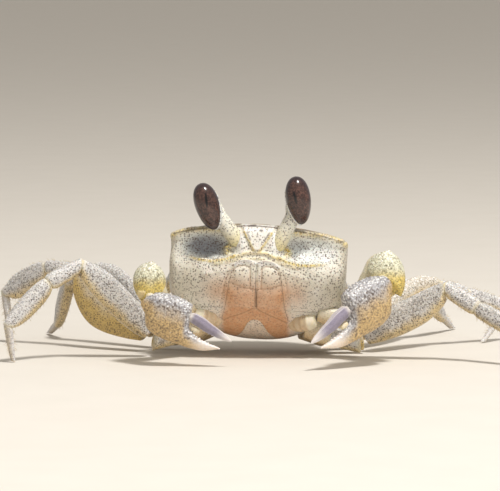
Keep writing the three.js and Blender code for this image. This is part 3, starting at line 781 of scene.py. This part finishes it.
# ---- Walking legs ----
# Four pairs of jointed legs, each a coxa, a short ischium with a broad flat merus, a carpus, a
# propodus and a slim pointed dactyl. Each is a stiff tube, hinged to the next through soft skin.

UP = np.array([0, 0, 1.0])
JOINT_GAP = 0.3


def heading(side, forward, pitch):
    forward, pitch = math.radians(forward), math.radians(pitch)
    return np.array([
        side * math.cos(forward) * math.cos(pitch), -math.sin(forward) * math.cos(pitch), math.sin(pitch)
    ])


def flank_at(y, z):
    """The flank's distance from the middle plane, in the body's frame."""
    x = 0.0
    while body_field(x, y, z) < 0:
        x += 0.05
    return x


def boxy(value):
    return np.sign(value) * np.abs(value) ** 0.85


def section(centre, along, facing, tall, thick, angle, crest):
    """Rings of a flattened section across the limb, each in the plane of its facing."""
    across = unit(np.cross(along, UP))
    upright = unit(np.cross(across, along))
    u = boxy(np.sin(angle)) * tall
    v = boxy(np.cos(angle)) * thick * (1 - crest * np.sin(angle))
    offset = u[..., None] * upright + v[..., None] * across
    slide = -np.sum(offset * facing, axis=-1) / np.sum(along * facing, axis=-1)
    return centre + offset + slide[..., None] * along


def limb(start, end, table, planes, girth=1.0, bow=0.0, crest=0.0, keels=(), sides=44, grain=0.16):
    """A limb segment: its rings, and how high, how far along and how far round each point is."""
    along = unit(end - start)
    length = np.linalg.norm(end - start)
    first, last = table[0][0], table[-1][0]
    share = np.linspace(first, last, max(int(length * (last - first) / grain), 8))
    angle = (np.arange(sides) + 0.5) / sides * 2 * math.pi
    tall, thick = (ease(table, share) * girth).T
    reach = share * length
    lean_in = (1 - rise(reach, 0, 1.1)) if planes[0] is not None else 0 * share
    lean_out = rise(reach, length - 1.1, length) if planes[1] is not None else 0 * share
    facing = np.repeat(along[None], len(share), axis=0)
    for lean, plane in ((lean_in, planes[0]), (lean_out, planes[1])):
        if plane is not None:
            facing = facing + lean[:, None] * (plane - along)
    facing = unit(facing)
    slack = 0.55 * JOINT_GAP * (lean_in - lean_out)
    centre = start + along * (reach + slack)[:, None] + UP * (bow * np.sin(math.pi * share**2))[:, None]
    swell = np.ones((len(share), sides))
    for at, height, width in keels:
        gap = (np.degrees(angle) - at + 180) % 360 - 180
        swell += height * np.exp(-((gap / width) ** 2)) * np.sin(math.pi * np.clip(share, 0, 1))[:, None]
    rings = section(
        centre[:, None], along, facing[:, None], tall[:, None] * swell, thick[:, None] * swell, angle, crest
    )
    return rings, {"level": np.sin(angle)[None], "share": share[:, None]}


def bisector(before, after):
    return unit(before + after)


def joint_skin(before, after, at, tall, thick):
    """The soft skin inside a joint, as a short barrel across it."""
    way = bisector(before, after)
    table = [(0, tall * 0.8, thick * 0.8), (0.5, tall * 0.95, thick * 0.95), (1, tall * 0.8, thick * 0.8)]
    return limb(at - way * 0.45, at + way * 0.45, table, (None, None), grain=0.06)


COXA_STATIONS = [(0, 1.6, 1.4), (0.6, 1.75, 1.5), (1, 1.45, 1.3)]
ISCHIUM_STATIONS = [(0, 1.3, 1.15), (0.5, 1.5, 1.2), (1, 1.45, 1.1)]
MERUS_STATIONS = [
    (0.1, 1.5, 0.95), (0.22, 2.15, 1.1), (0.5, 2.7, 1.12), (0.84, 2.3, 1.05), (0.95, 1.65, 1), (1, 1.1, 0.95),
]
CARPUS_STATIONS = [(0, 0.9, 0.9), (0.2, 1.08, 0.98), (0.6, 1.17, 1), (0.93, 1.16, 0.92), (1, 1.05, 0.86)]
PROPODUS_STATIONS = [(0, 1, 0.8), (0.12, 1.2, 0.84), (0.6, 1.2, 0.78), (0.92, 0.95, 0.7), (1, 0.8, 0.62)]
DACTYL_STATIONS = [(0, 0.62, 0.52), (0.35, 0.52, 0.45), (0.75, 0.4, 0.35), (1, 0.28, 0.28)]
# Keels along each segment: angle round it, height and width in degrees.
MERUS_KEELS = [(90, 0.1, 9), (235, 0.08, 10), (305, 0.08, 10), (40, 0.05, 8), (140, 0.05, 8)]
CARPUS_KEELS = [(60, 0.16, 10), (120, 0.16, 10), (0, 0.1, 9), (180, 0.1, 9)]
PROPODUS_KEELS = [(50, 0.2, 9), (130, 0.2, 9), (0, 0.12, 9), (180, 0.12, 9), (270, 0.15, 10)]
DACTYL_KEELS = [(30, 0.15, 14), (150, 0.15, 14), (270, 0.1, 14)]
COXA_ROOT = 0.9  # how far a coxa reaches into the body
WALKING_PAIRS = {
    2: {"flank": (-2.2, -6.4), "coxa": 2.5, "lengths": (4.2, 15.4, 5.3, 8.4, 5), "girth": 1},
    3: {"flank": (1.2, -6.4), "coxa": 2.8, "lengths": (4.4, 15.8, 5.1, 8.7, 7), "girth": 1},
    4: {"flank": (4.4, -6.2), "coxa": 3.4, "lengths": (4.2, 15.2, 5.2, 8.6, 5.2), "girth": 0.96},
    5: {"flank": (7.2, -5.2), "coxa": 2.4, "lengths": (3.2, 10.5, 4, 6.5, 4.6), "girth": 0.72},
}
# How deep and how far raised the merus is and how deep the propodus is, where a leg differs.
BLADES = {
    ("right", 2): (0.72, -0.1, 1.12), ("right", 3): (1.2, -0.6, 1.45), ("right", 4): (1, 0, 1.35),
    ("left", 2): (0.78, -0.45, 1), ("left", 3): (1, 0.4, 1),
}
# Forward for coxa, merus and foot, up for coxa, ischium, merus, carpus and propodus, lean and bow.
STANCE = {
    ("right", 2): ((10, 18, 23), (-25, -15, 45, -27, -44), -1, 0.3),
    ("right", 3): ((-6, -30, -34), (-23, -8, 34, 2, -29), -1, -1.5),
    ("right", 4): ((-17, -36, -70), (-22, -6, 36, -24, -50), 1, 0.8),
    ("right", 5): ((-55, -68, -70), (-14, 0, 40, -24, -38), -1, 0.3),
    ("left", 2): ((8, 22, 40), (-20, -13, 32, -30, -21), -1, -0.2),
    ("left", 3): ((-7, -36, -40), (-20, -6, 26, -18, -16), -1, 0.5),
    ("left", 4): ((-21, -55, -68), (-15, -4, 24, -22, -27), 1, 0),
    ("left", 5): ((-58, -72, -66), (-10, 0, 34, -24, -34), -1, 0.3),
}


def limb_finish(name, high, low, dark, net, dotted, lift=0.2, spacing=0.26):
    """Granular cuticle, pale above and warm below the lift, with a dark net and dots of some strength. The two
    tones are partly the cuticle's own and partly painted light: painted top light above, painted warm shading
    below and painted highlights on the granules.
    """
    material, place = new_finish(name)
    level, share, reach = values_of(place, "level share reach")
    broad, fine = cloud(place, 2.2, 3), cloud(place, 0.3, 3)
    grain = fade(cells_of(place, spacing), 0.62, 0.22)
    # Warm below the lift: partly the cuticle's own colour, partly painted warm shading.
    lower = fade(level + 0.9 * (broad - 0.5), lift, lift - 0.8)
    ends = fade(reach, 7.5, 10.5)
    # The crown is the limb's top; fewer dark marks there make a painted top light.
    crown = fade(level + 0.6 * (fine - 0.5), 0.25, 0.95)
    web = (1 - grain) * fade(fine + 0.35 * broad, 0.8, 0.5) * (1 - 0.25 * lower) * (1 - 0.4 * crown)
    dots = specks(place, 0.25, 0.21, 0.4)
    # Glints: white granules, partly their own white and partly painted highlight, more of them at the crown.
    glint = grain * fade(fine + 0.3 * crown, 0.6, 0.85)
    joint = fade(share, 0.05, 0.0) + fade(share, 0.95, 1.0)
    colour = coats(
        tint(lower, high, low),
        (web * net * (1 - ends), dark),
        (dots * (1 - 0.5 * crown) * (1 - ends) * dotted, dark),
        (ends * 0.8, (0.70, 0.62, 0.55)),
        (glint * 0.8, (0.84, 0.83, 0.81)),
        (joint * 0.35, (0.66, 0.58, 0.38)),
    )
    seal(place, colour, 0.3 + 0.22 * fine, (0.6, 0.05, grain + 0.5 * fine), (0.2, (1, 0.7, 0.45), 0.5))
    return material


leg_finish = limb_finish(
    "speckled_leg", (0.58, 0.56, 0.54), (0.64, 0.50, 0.27), (0.07, 0.055, 0.05), 0.6, 0.85, 0.0
)
# The third legs' finish, a warmer and darker copy of the leg finish: partly the meri's own golden tone, partly
# painted warm shading.
gold_and_shading_finish = limb_finish(
    "golden_shaded_leg", (0.55, 0.50, 0.42), (0.54, 0.38, 0.13), (0.08, 0.055, 0.035), 0.35, 0.85, 0.55
)
coxa_finish = limb_finish(
    "coxa_shell", (0.70, 0.64, 0.50), (0.62, 0.48, 0.29), (0.20, 0.13, 0.08), 0.08, 0.4
)
toe_finish = limb_finish(
    "toe_shell", (0.62, 0.60, 0.58), (0.50, 0.44, 0.36), (0.16, 0.13, 0.13), 0.4, 0.5
)
skin_finish, place = new_finish("joint_skin")
folds = cloud(place, 0.4, 3, 1.0)
colour = tint(folds, (0.54, 0.44, 0.28), (0.74, 0.67, 0.50))
seal(place, colour, 0.45 + 0.2 * folds, (0.8, 0.06, folds), (0.3, (1, 0.8, 0.4), 0.5))


def coxa_root(side, flank):
    return from_body(np.array([side * (flank_at(*flank) - COXA_ROOT), *flank]))


outer_segments = {}
for (side_name, pair), (forward, up, lean, bow) in STANCE.items():
    side = 1 if side_name == "left" else -1
    shape = WALKING_PAIRS[pair]
    girth = shape["girth"]
    name = f"leg{pair}_{side_name}"
    lengths = shape["coxa"] + COXA_ROOT, *shape["lengths"]
    ways = [heading(side, forward[turn], pitch) for turn, pitch in zip((0, 0, 1, 1, 2), up)]
    joints = [coxa_root(side, shape["flank"])]
    for way, length in zip(ways, lengths):
        joints.append(joints[-1] + way * length)
    root, hip, bend, knee, wrist, ankle = joints
    drop = min(0.99, ankle[2] / lengths[-1])
    level = math.sqrt(1 - drop * drop)
    ways.append(np.append(unit(ways[-1][:2]) * level * lean, -drop))
    tip = ankle + ways[-1] * ankle[2] / drop
    hip_plane, bend_plane, knee_plane, wrist_plane, ankle_plane = map(bisector, ways, ways[1:])

    deep, raised, broad = BLADES.get((side_name, pair), (1, 0, 1))
    blade = [(at, tall * deep, thick) for at, tall, thick in MERUS_STATIONS]
    shank = [
        (at, tall * (1 + (broad - 1) * min(1, 4 * at, 4 - 4 * at)), thick)
        for at, tall, thick in PROPODUS_STATIONS
    ]
    coxa = limb(root, hip, COXA_STATIONS, (None, hip_plane), girth)
    ischium = limb(hip, bend, ISCHIUM_STATIONS, (hip_plane, bend_plane), girth)
    merus = limb(bend, knee, blade, (None, knee_plane), girth, bow + raised, 0.3, MERUS_KEELS)
    carpus = limb(knee, wrist, CARPUS_STATIONS, (knee_plane, wrist_plane), girth, 0, 0.1, CARPUS_KEELS)
    propodus = limb(wrist, ankle, shank, (wrist_plane, ankle_plane), girth, 0, 0.1, PROPODUS_KEELS)
    dactyl = limb(ankle, tip, DACTYL_STATIONS, (ankle_plane, -UP), 1, 0, 0, DACTYL_KEELS, 32, 0.1)
    dactyl[0][..., 2] = np.maximum(dactyl[0][..., 2], 0.25)
    outer_segments[name] = [carpus[0], propodus[0], dactyl[0]]
    shell(name + "_coxa", [coxa], coxa_finish, "belly_shell")
    shell(name + "_merus", [ischium, merus], gold_and_shading_finish if pair == 3 else leg_finish, "leg_shell")
    shell(name + "_carpus", [carpus], leg_finish, "leg_shell")
    shell(name + "_propodus", [propodus], leg_finish, "leg_shell")
    shell(name + "_dactyl", [dactyl], toe_finish, "toe")
    coxa_way, _, merus_way, carpus_way, foot_way, toe_way = ways
    place_piece(skin(name + "_joint_skin", [
        joint_skin(coxa_way, ways[1], hip, 1.35 * girth, 1.2 * girth),
        joint_skin(merus_way, carpus_way, knee, 0.92 * girth, 0.9 * girth),
        joint_skin(carpus_way, foot_way, wrist, 0.88 * girth, 0.78 * girth),
        joint_skin(foot_way, toe_way, ankle, 0.62, 0.52),
    ]), skin_finish, "leg_shell")

# ---- Chelipeds ----
# The two claw limbs, the left one larger. Each has a short coxa, a merus standing up to the elbow, an
# egg-shaped carpus and a flat deep hand whose lower finger is fixed and whose upper finger is hinged.

CLAW_MERUS_STATIONS = [(0, 1.2, 1.1), (0.3, 1.75, 1.35), (0.82, 2.5, 1.6), (1.02, 2.85, 1.45), (1.14, 2.6, 1.1)]
CARPUS_RADII = np.array([2.3, 2, 2.75])
CLAWS = {
    "right": {
        "side": -1, "size": 1, "coxa": (30, -26), "merus": (66, 45), "palm": (169, -25), "drop": 0,
        "to_wrist": (0.1, -1.7, -2.1), "sag": (0.3, 0, -0.25), "lobe": (0.25, -0.4, -0.9), "overlap": 1.1,
    },
    "left": {
        "side": 1, "size": 1.15, "coxa": (10, -15), "merus": (44, 48), "palm": (142, -28), "drop": 0.35,
        "to_wrist": (-0.3, -1.9, -0.9), "sag": (-0.1, 0, -0.45), "lobe": (0.3, -0.6, -0.6), "overlap": 0.35,
    },
}
# Hand and fingers from the wrist: distance along, height of the upper and lower edge, half thickness.
HAND = [
    (0.35, 0.75, -1.5, 1.1), (0.9, 1.05, -2.8, 1.35), (1.6, 1.35, -3.85, 1.65), (2.8, 1.65, -4.35, 1.95),
    (4.5, 1.85, -4.4, 1.9), (5.7, 1.75, -4.25, 1.65), (6.25, 1.5, -4.2, 1.4), (6.55, 0.4, -4.18, 1.2),
    (6.85, -0.9, -4.15, 1.08), (7.4, -1.6, -4.08, 0.95), (8.4, -2, -3.92, 0.78), (9.8, -2.15, -3.58, 0.58),
    (11, -2.12, -3, 0.42), (12, -2.03, -2.35, 0.24), (12.3, -2.06, -2.2, 0.12),
]
FINGER = [
    (6.45, 0.5, -0.3, 0.45), (6.75, 0.76, -0.48, 0.6), (8.1, 0.84, -0.7, 0.6), (9.85, 0.5, -0.9, 0.5),
    (11.9, 0.1, -0.86, 0.3), (13, -0.22, -0.66, 0.16), (13.25, -0.34, -0.56, 0.08),
]


def hand(wrist, palm_way, wrist_plane, size, rows, teeth_at, grain=0.09, sides=56, ribs=0.0):
    """Rings of a hand or finger, with small teeth along the edge that bites and ribs round it."""
    across = unit(np.cross(palm_way, UP))
    upright = unit(np.cross(across, palm_way))
    reach = np.arange(rows[0][0], rows[-1][0], grain)
    top, bottom, thick = ease(rows, reach).T
    angle = (np.arange(sides) + 0.5) / sides * 2 * math.pi
    square = np.clip(reach / 0.7, 0, 1)[:, None]
    facing = unit(wrist_plane * (1 - square) + palm_way * square)
    centre = wrist + palm_way * (reach * size)[:, None] + upright * ((top + bottom) / 2 * size)[:, None]
    gap = (np.degrees(angle) - teeth_at + 180) % 360 - 180
    cusps = above(np.sin(reach * 14) + 0.5 * np.sin(reach * 9.1))
    cusps = cusps * rise(reach, 7.3, 8) * rise(-reach, -11.8, -11)
    swell = 1 + (0.2 * cusps[:, None] * np.exp(-((gap / 18) ** 2))) * (reach > 7)[:, None]
    swell += ribs * np.cos(6 * angle)
    knobs = above(np.sin(reach * 11)[:, None] * np.sin(angle * 16)) * rise(np.sin(angle), 0.35, 0.75)
    swell += 0.05 * knobs * rise(-reach, -6.6, -6)[:, None]
    rings = section(
        centre[:, None], palm_way, facing[:, None],
        (top - bottom)[:, None] / 2 * size * swell, thick[:, None] * size * swell, angle, 0.0,
    )
    return rings, {
        "level": np.sin(angle)[None], "share": 0.1 + 0.8 * reach[:, None] / 13, "reach": reach[:, None]
    }


def held_back(points, plane, at):
    """The points pressed flat where they pass a plane."""
    past = above((points - at) @ plane)
    return points - past[..., None] * plane


claw_finish = limb_finish(
    "claw_shell", (0.37, 0.36, 0.37), (0.57, 0.40, 0.19), (0.085, 0.06, 0.045), 1.0, 0.4, 0.6, 0.36
)
elbow_finish = limb_finish(
    "claw_carpus", (0.64, 0.62, 0.46), (0.62, 0.47, 0.13), (0.11, 0.09, 0.05), 0.85, 0.5, 0.35, 0.3
)
arm_finish = limb_finish(
    "claw_merus", (0.66, 0.60, 0.42), (0.66, 0.50, 0.20), (0.17, 0.12, 0.07), 0.15, 0.4, 0.3
)
finger_finish, place = new_finish("claw_finger")
level, reach = values_of(place, "level reach")
fine = cloud(place, 0.35, 3)
edge = fade(level * level, 0.55, 0.95)
tip = fade(reach, 10.5, 12.8)
streak = fade((level * 9 + fine * 2).math("SINE"), 0.3, 0.9)
colour = coats(
    tint(fine, (0.13, 0.11, 0.15), (0.28, 0.24, 0.31)),
    (streak * 0.6, (0.52, 0.50, 0.56)),
    (edge * 0.7, (0.58, 0.53, 0.52)),
    (tip * 0.75, (0.74, 0.69, 0.64)),
    (fade(reach, 7.4, 6.7) * 0.7, (0.72, 0.67, 0.60)),
    (specks(place, 0.26, 0.17, 0.4) * 0.4 * (1 - tip), (0.12, 0.09, 0.13)),
)
seal(place, colour, 0.3 + 0.15 * fine, (0.3, 0.04, fine), (0.2, (1, 0.8, 0.7), 0.4))

for side_name, claw in CLAWS.items():
    side, size = claw["side"], claw["size"]
    name = f"cheliped_{side_name}"
    coxa_way, merus_way = heading(side, *claw["coxa"]), heading(side, *claw["merus"])
    palm_way = heading(side, *claw["palm"])
    to_wrist = np.array(claw["to_wrist"])
    wrist_way = unit(to_wrist)
    root = coxa_root(side, (-5.4, -4.7))
    hip = root + coxa_way * 4.4
    elbow = hip + merus_way * 8.2 * size
    hip_plane = bisector(coxa_way, merus_way)
    middle = elbow + merus_way * 0.8 * size
    wrist = middle + to_wrist * size
    coxa = limb(root, hip, COXA_STATIONS, (None, hip_plane), 0.76)
    merus = limb(hip, elbow, CLAW_MERUS_STATIONS, (hip_plane, None), size)
    shell(name + "_coxa", [coxa], coxa_finish, "belly_shell")
    shell(name + "_merus", [merus], arm_finish, "claw_shell")

    swing = np.linspace(0.02, math.pi - 0.02, 70)[:, None]
    turn = (np.arange(90) / 90 * 2 * math.pi)[None]
    ball = np.stack([
        np.sin(swing) * np.cos(turn), np.sin(swing) * np.sin(turn), -np.cos(swing) + 0 * turn
    ], axis=-1)
    knobs = 1 + 0.025 * above(np.sin(swing * 22) * np.sin(turn * 15)) * rise(-np.cos(swing), 0, 0.5)
    lobe = unit(np.array(claw["lobe"]))
    for way, height, spread in (((0.16, -0.1, 0.98), 0.08, 0.03), (lobe, 0.5, 0.4)):
        knobs = knobs + height * np.exp(-np.sum((ball - way) ** 2, axis=-1) / spread)
    knobs = knobs + 0.03 * np.sin(3 * turn + 2 * swing) * np.sin(swing) ** 2
    ball = ball * knobs[..., None] * CARPUS_RADII * size + middle + claw["sag"]
    ball = held_back(ball, -merus_way, elbow + merus_way * 0.15)
    ball = held_back(ball, wrist_way, wrist + wrist_way * claw["overlap"])
    level = (ball - middle)[..., 2] / (2.5 * size)
    shell(name + "_carpus", [(ball, {"level": level, "share": 0.5})], elbow_finish, "claw_shell")

    drop = claw["drop"]
    lowered = [(reach, top - drop, bottom - drop, thick) for reach, top, bottom, thick in FINGER]
    palm = hand(wrist, palm_way, wrist_way, size, HAND, 90)
    finger = hand(wrist, palm_way, wrist_way, size, lowered, 270, 0.07, 60, 0.06)
    shell(name + "_palm", [palm], claw_finish, "claw_shell")
    shell(name + "_finger", [finger], finger_finish, "claw_finger")
    upright = unit(np.cross(np.cross(palm_way, UP), palm_way))
    knuckle = wrist + (palm_way * 8 - upright * (1.25 + drop)) * size
    place_piece(skin(name + "_joint_skin", [
        joint_skin(palm_way, palm_way, knuckle, 0.42 * size, 0.4 * size),
        joint_skin(coxa_way, merus_way, hip, 1.3, 1.2),
        joint_skin(merus_way, merus_way, elbow, 1.4 * size, 1.1 * size),
        joint_skin(wrist_way, wrist_way, wrist + palm_way * 0.4, 0.8 * size, 0.75 * size),
    ]), skin_finish, "claw_shell")

# ---- Claw sockets ----
# Soft folded skin that joins each claw limb to the breast, drawn in rings like a bellows round a pale
# smooth boss. It lies in the hollow between the lower cheek and the breast plate.

socket_finish, place = new_finish("socket_skin")
(boss,), folds = values_of(place, "boss"), cloud(place, 0.5, 3, 0.6)
# The folds' dark tan is partly the skin's own colour, partly painted shading of the hollow under the cheek.
colour = coats(tint(folds, (0.50, 0.35, 0.21), (0.68, 0.56, 0.39)), (boss, (0.78, 0.72, 0.56)))
seal(place, colour, 0.3 + 0.2 * folds, (0.5, 0.05, folds), (0.3, (1, 0.7, 0.4), 0.5))

SOCKET_RINGS = 160
for side_name, side in (("left", 1), ("right", -1)):
    path = from_body(spline([
        (side * 4.9, -1.6, -5.2), (side * 6, -4.2, -5.9), (side * 7.4, -5.3, -6), (side * 8.5, -5.6, -5.8),
    ], SOCKET_RINGS))
    share = np.linspace(0, 1, SOCKET_RINGS)
    radii = (1.5 - 0.6 * share**2) * (1 + 0.05 * np.sin(share * 44) * rise(-share, -0.84, -0.7))
    boss = rise(share, 0.66, 0.8)[:, None]
    socket = skin(f"claw_socket_{side_name}_skin", [(tube(path, radii, 48), {"boss": boss})])
    place_piece(socket, socket_finish, "belly_shell")

# ---- Setae ----
# Fine stiff bristles stand in two rows along the upper and lower edges of the walking legs' outer
# segments. They are pale horny spines, each rooted in the shell of its segment.

bristle_finish, place = new_finish("bristle")
fine = cloud(place, 0.5, 2)
seal(place, tint(fine, (0.42, 0.32, 0.18), (0.66, 0.58, 0.42)), 0.4 + 0.1 * fine)


BRISTLE_SIDES = 5
BRISTLE_POINTS = 2 * BRISTLE_SIDES + 1  # two rings and a tip
LOWEST_ROOT = 1.2  # bristles rooted lower would pass the floor


def bristles(name, rows, seed):
    """One mesh of tapering bristles; each row is a leg segment's rings and the place of its unwrap."""
    rng = np.random.default_rng(seed)
    points, faces, patches = [], [], []
    ring = np.arange(BRISTLE_SIDES) / BRISTLE_SIDES * 2 * math.pi
    for strip, rings in enumerate(rows):
        count, sides = rings.shape[:2]
        centres = rings.mean(axis=1)
        for edge in (0.25, 0.75, 0.17, 0.83):
            for i in range(3, count - 3, 3):
                j = int(edge * sides + rng.integers(-1, 2)) % sides
                root = rings[i, j]
                if rng.random() < 0.35 or root[2] < LOWEST_ROOT:
                    continue
                out = unit(root - centres[i])
                along = unit(centres[i + 2] - centres[i - 2])
                way = unit(out + along * rng.uniform(0.5, 1.1) + rng.normal(0, 0.12, 3))
                length = rng.uniform(0.35, 0.8)
                a = unit(np.cross(way, out + (0.1, 0.2, 0.3)))
                b = np.cross(way, a)
                circle = np.cos(ring)[:, None] * a + np.sin(ring)[:, None] * b
                base = len(points) * BRISTLE_POINTS
                foot = root - out * 0.06
                points.append(np.vstack([
                    foot + circle * 0.035, foot + way * length * 0.6 + circle * 0.022, foot + way * length
                ]))
                upper, top = base + BRISTLE_SIDES, base + BRISTLE_POINTS - 1
                for k in range(BRISTLE_SIDES):
                    n = (k + 1) % BRISTLE_SIDES
                    faces.append([base + k, base + n, upper + n, upper + k])
                    faces.append([upper + k, upper + n, top])
                faces.append([base + k for k in range(BRISTLE_SIDES)][::-1])
                patches.append(((strip + i / count) / len(rows), (j + 0.5) / sides))
    piece = new_piece(name, np.concatenate(points) + ORIGIN_SHIFT, faces)
    layer = piece.data.uv_layers.new(name="OFBake")
    owner = np.empty(len(piece.data.loops), dtype=np.int32)
    piece.data.loops.foreach_get("vertex_index", owner)
    bristle, point = np.divmod(owner, BRISTLE_POINTS)
    roots = np.array(patches)[bristle]
    spread = np.stack([point % BRISTLE_SIDES / BRISTLE_SIDES, point // BRISTLE_SIDES / 2], axis=1) * 0.003
    layer.data.foreach_set("uv", (roots * 0.98 + spread).astype(np.float32).ravel())
    return piece


for number, (name, rows) in enumerate(outer_segments.items()):
    place_piece(bristles(name + "_bristles", rows, 7 + number), bristle_finish, "leg_shell")
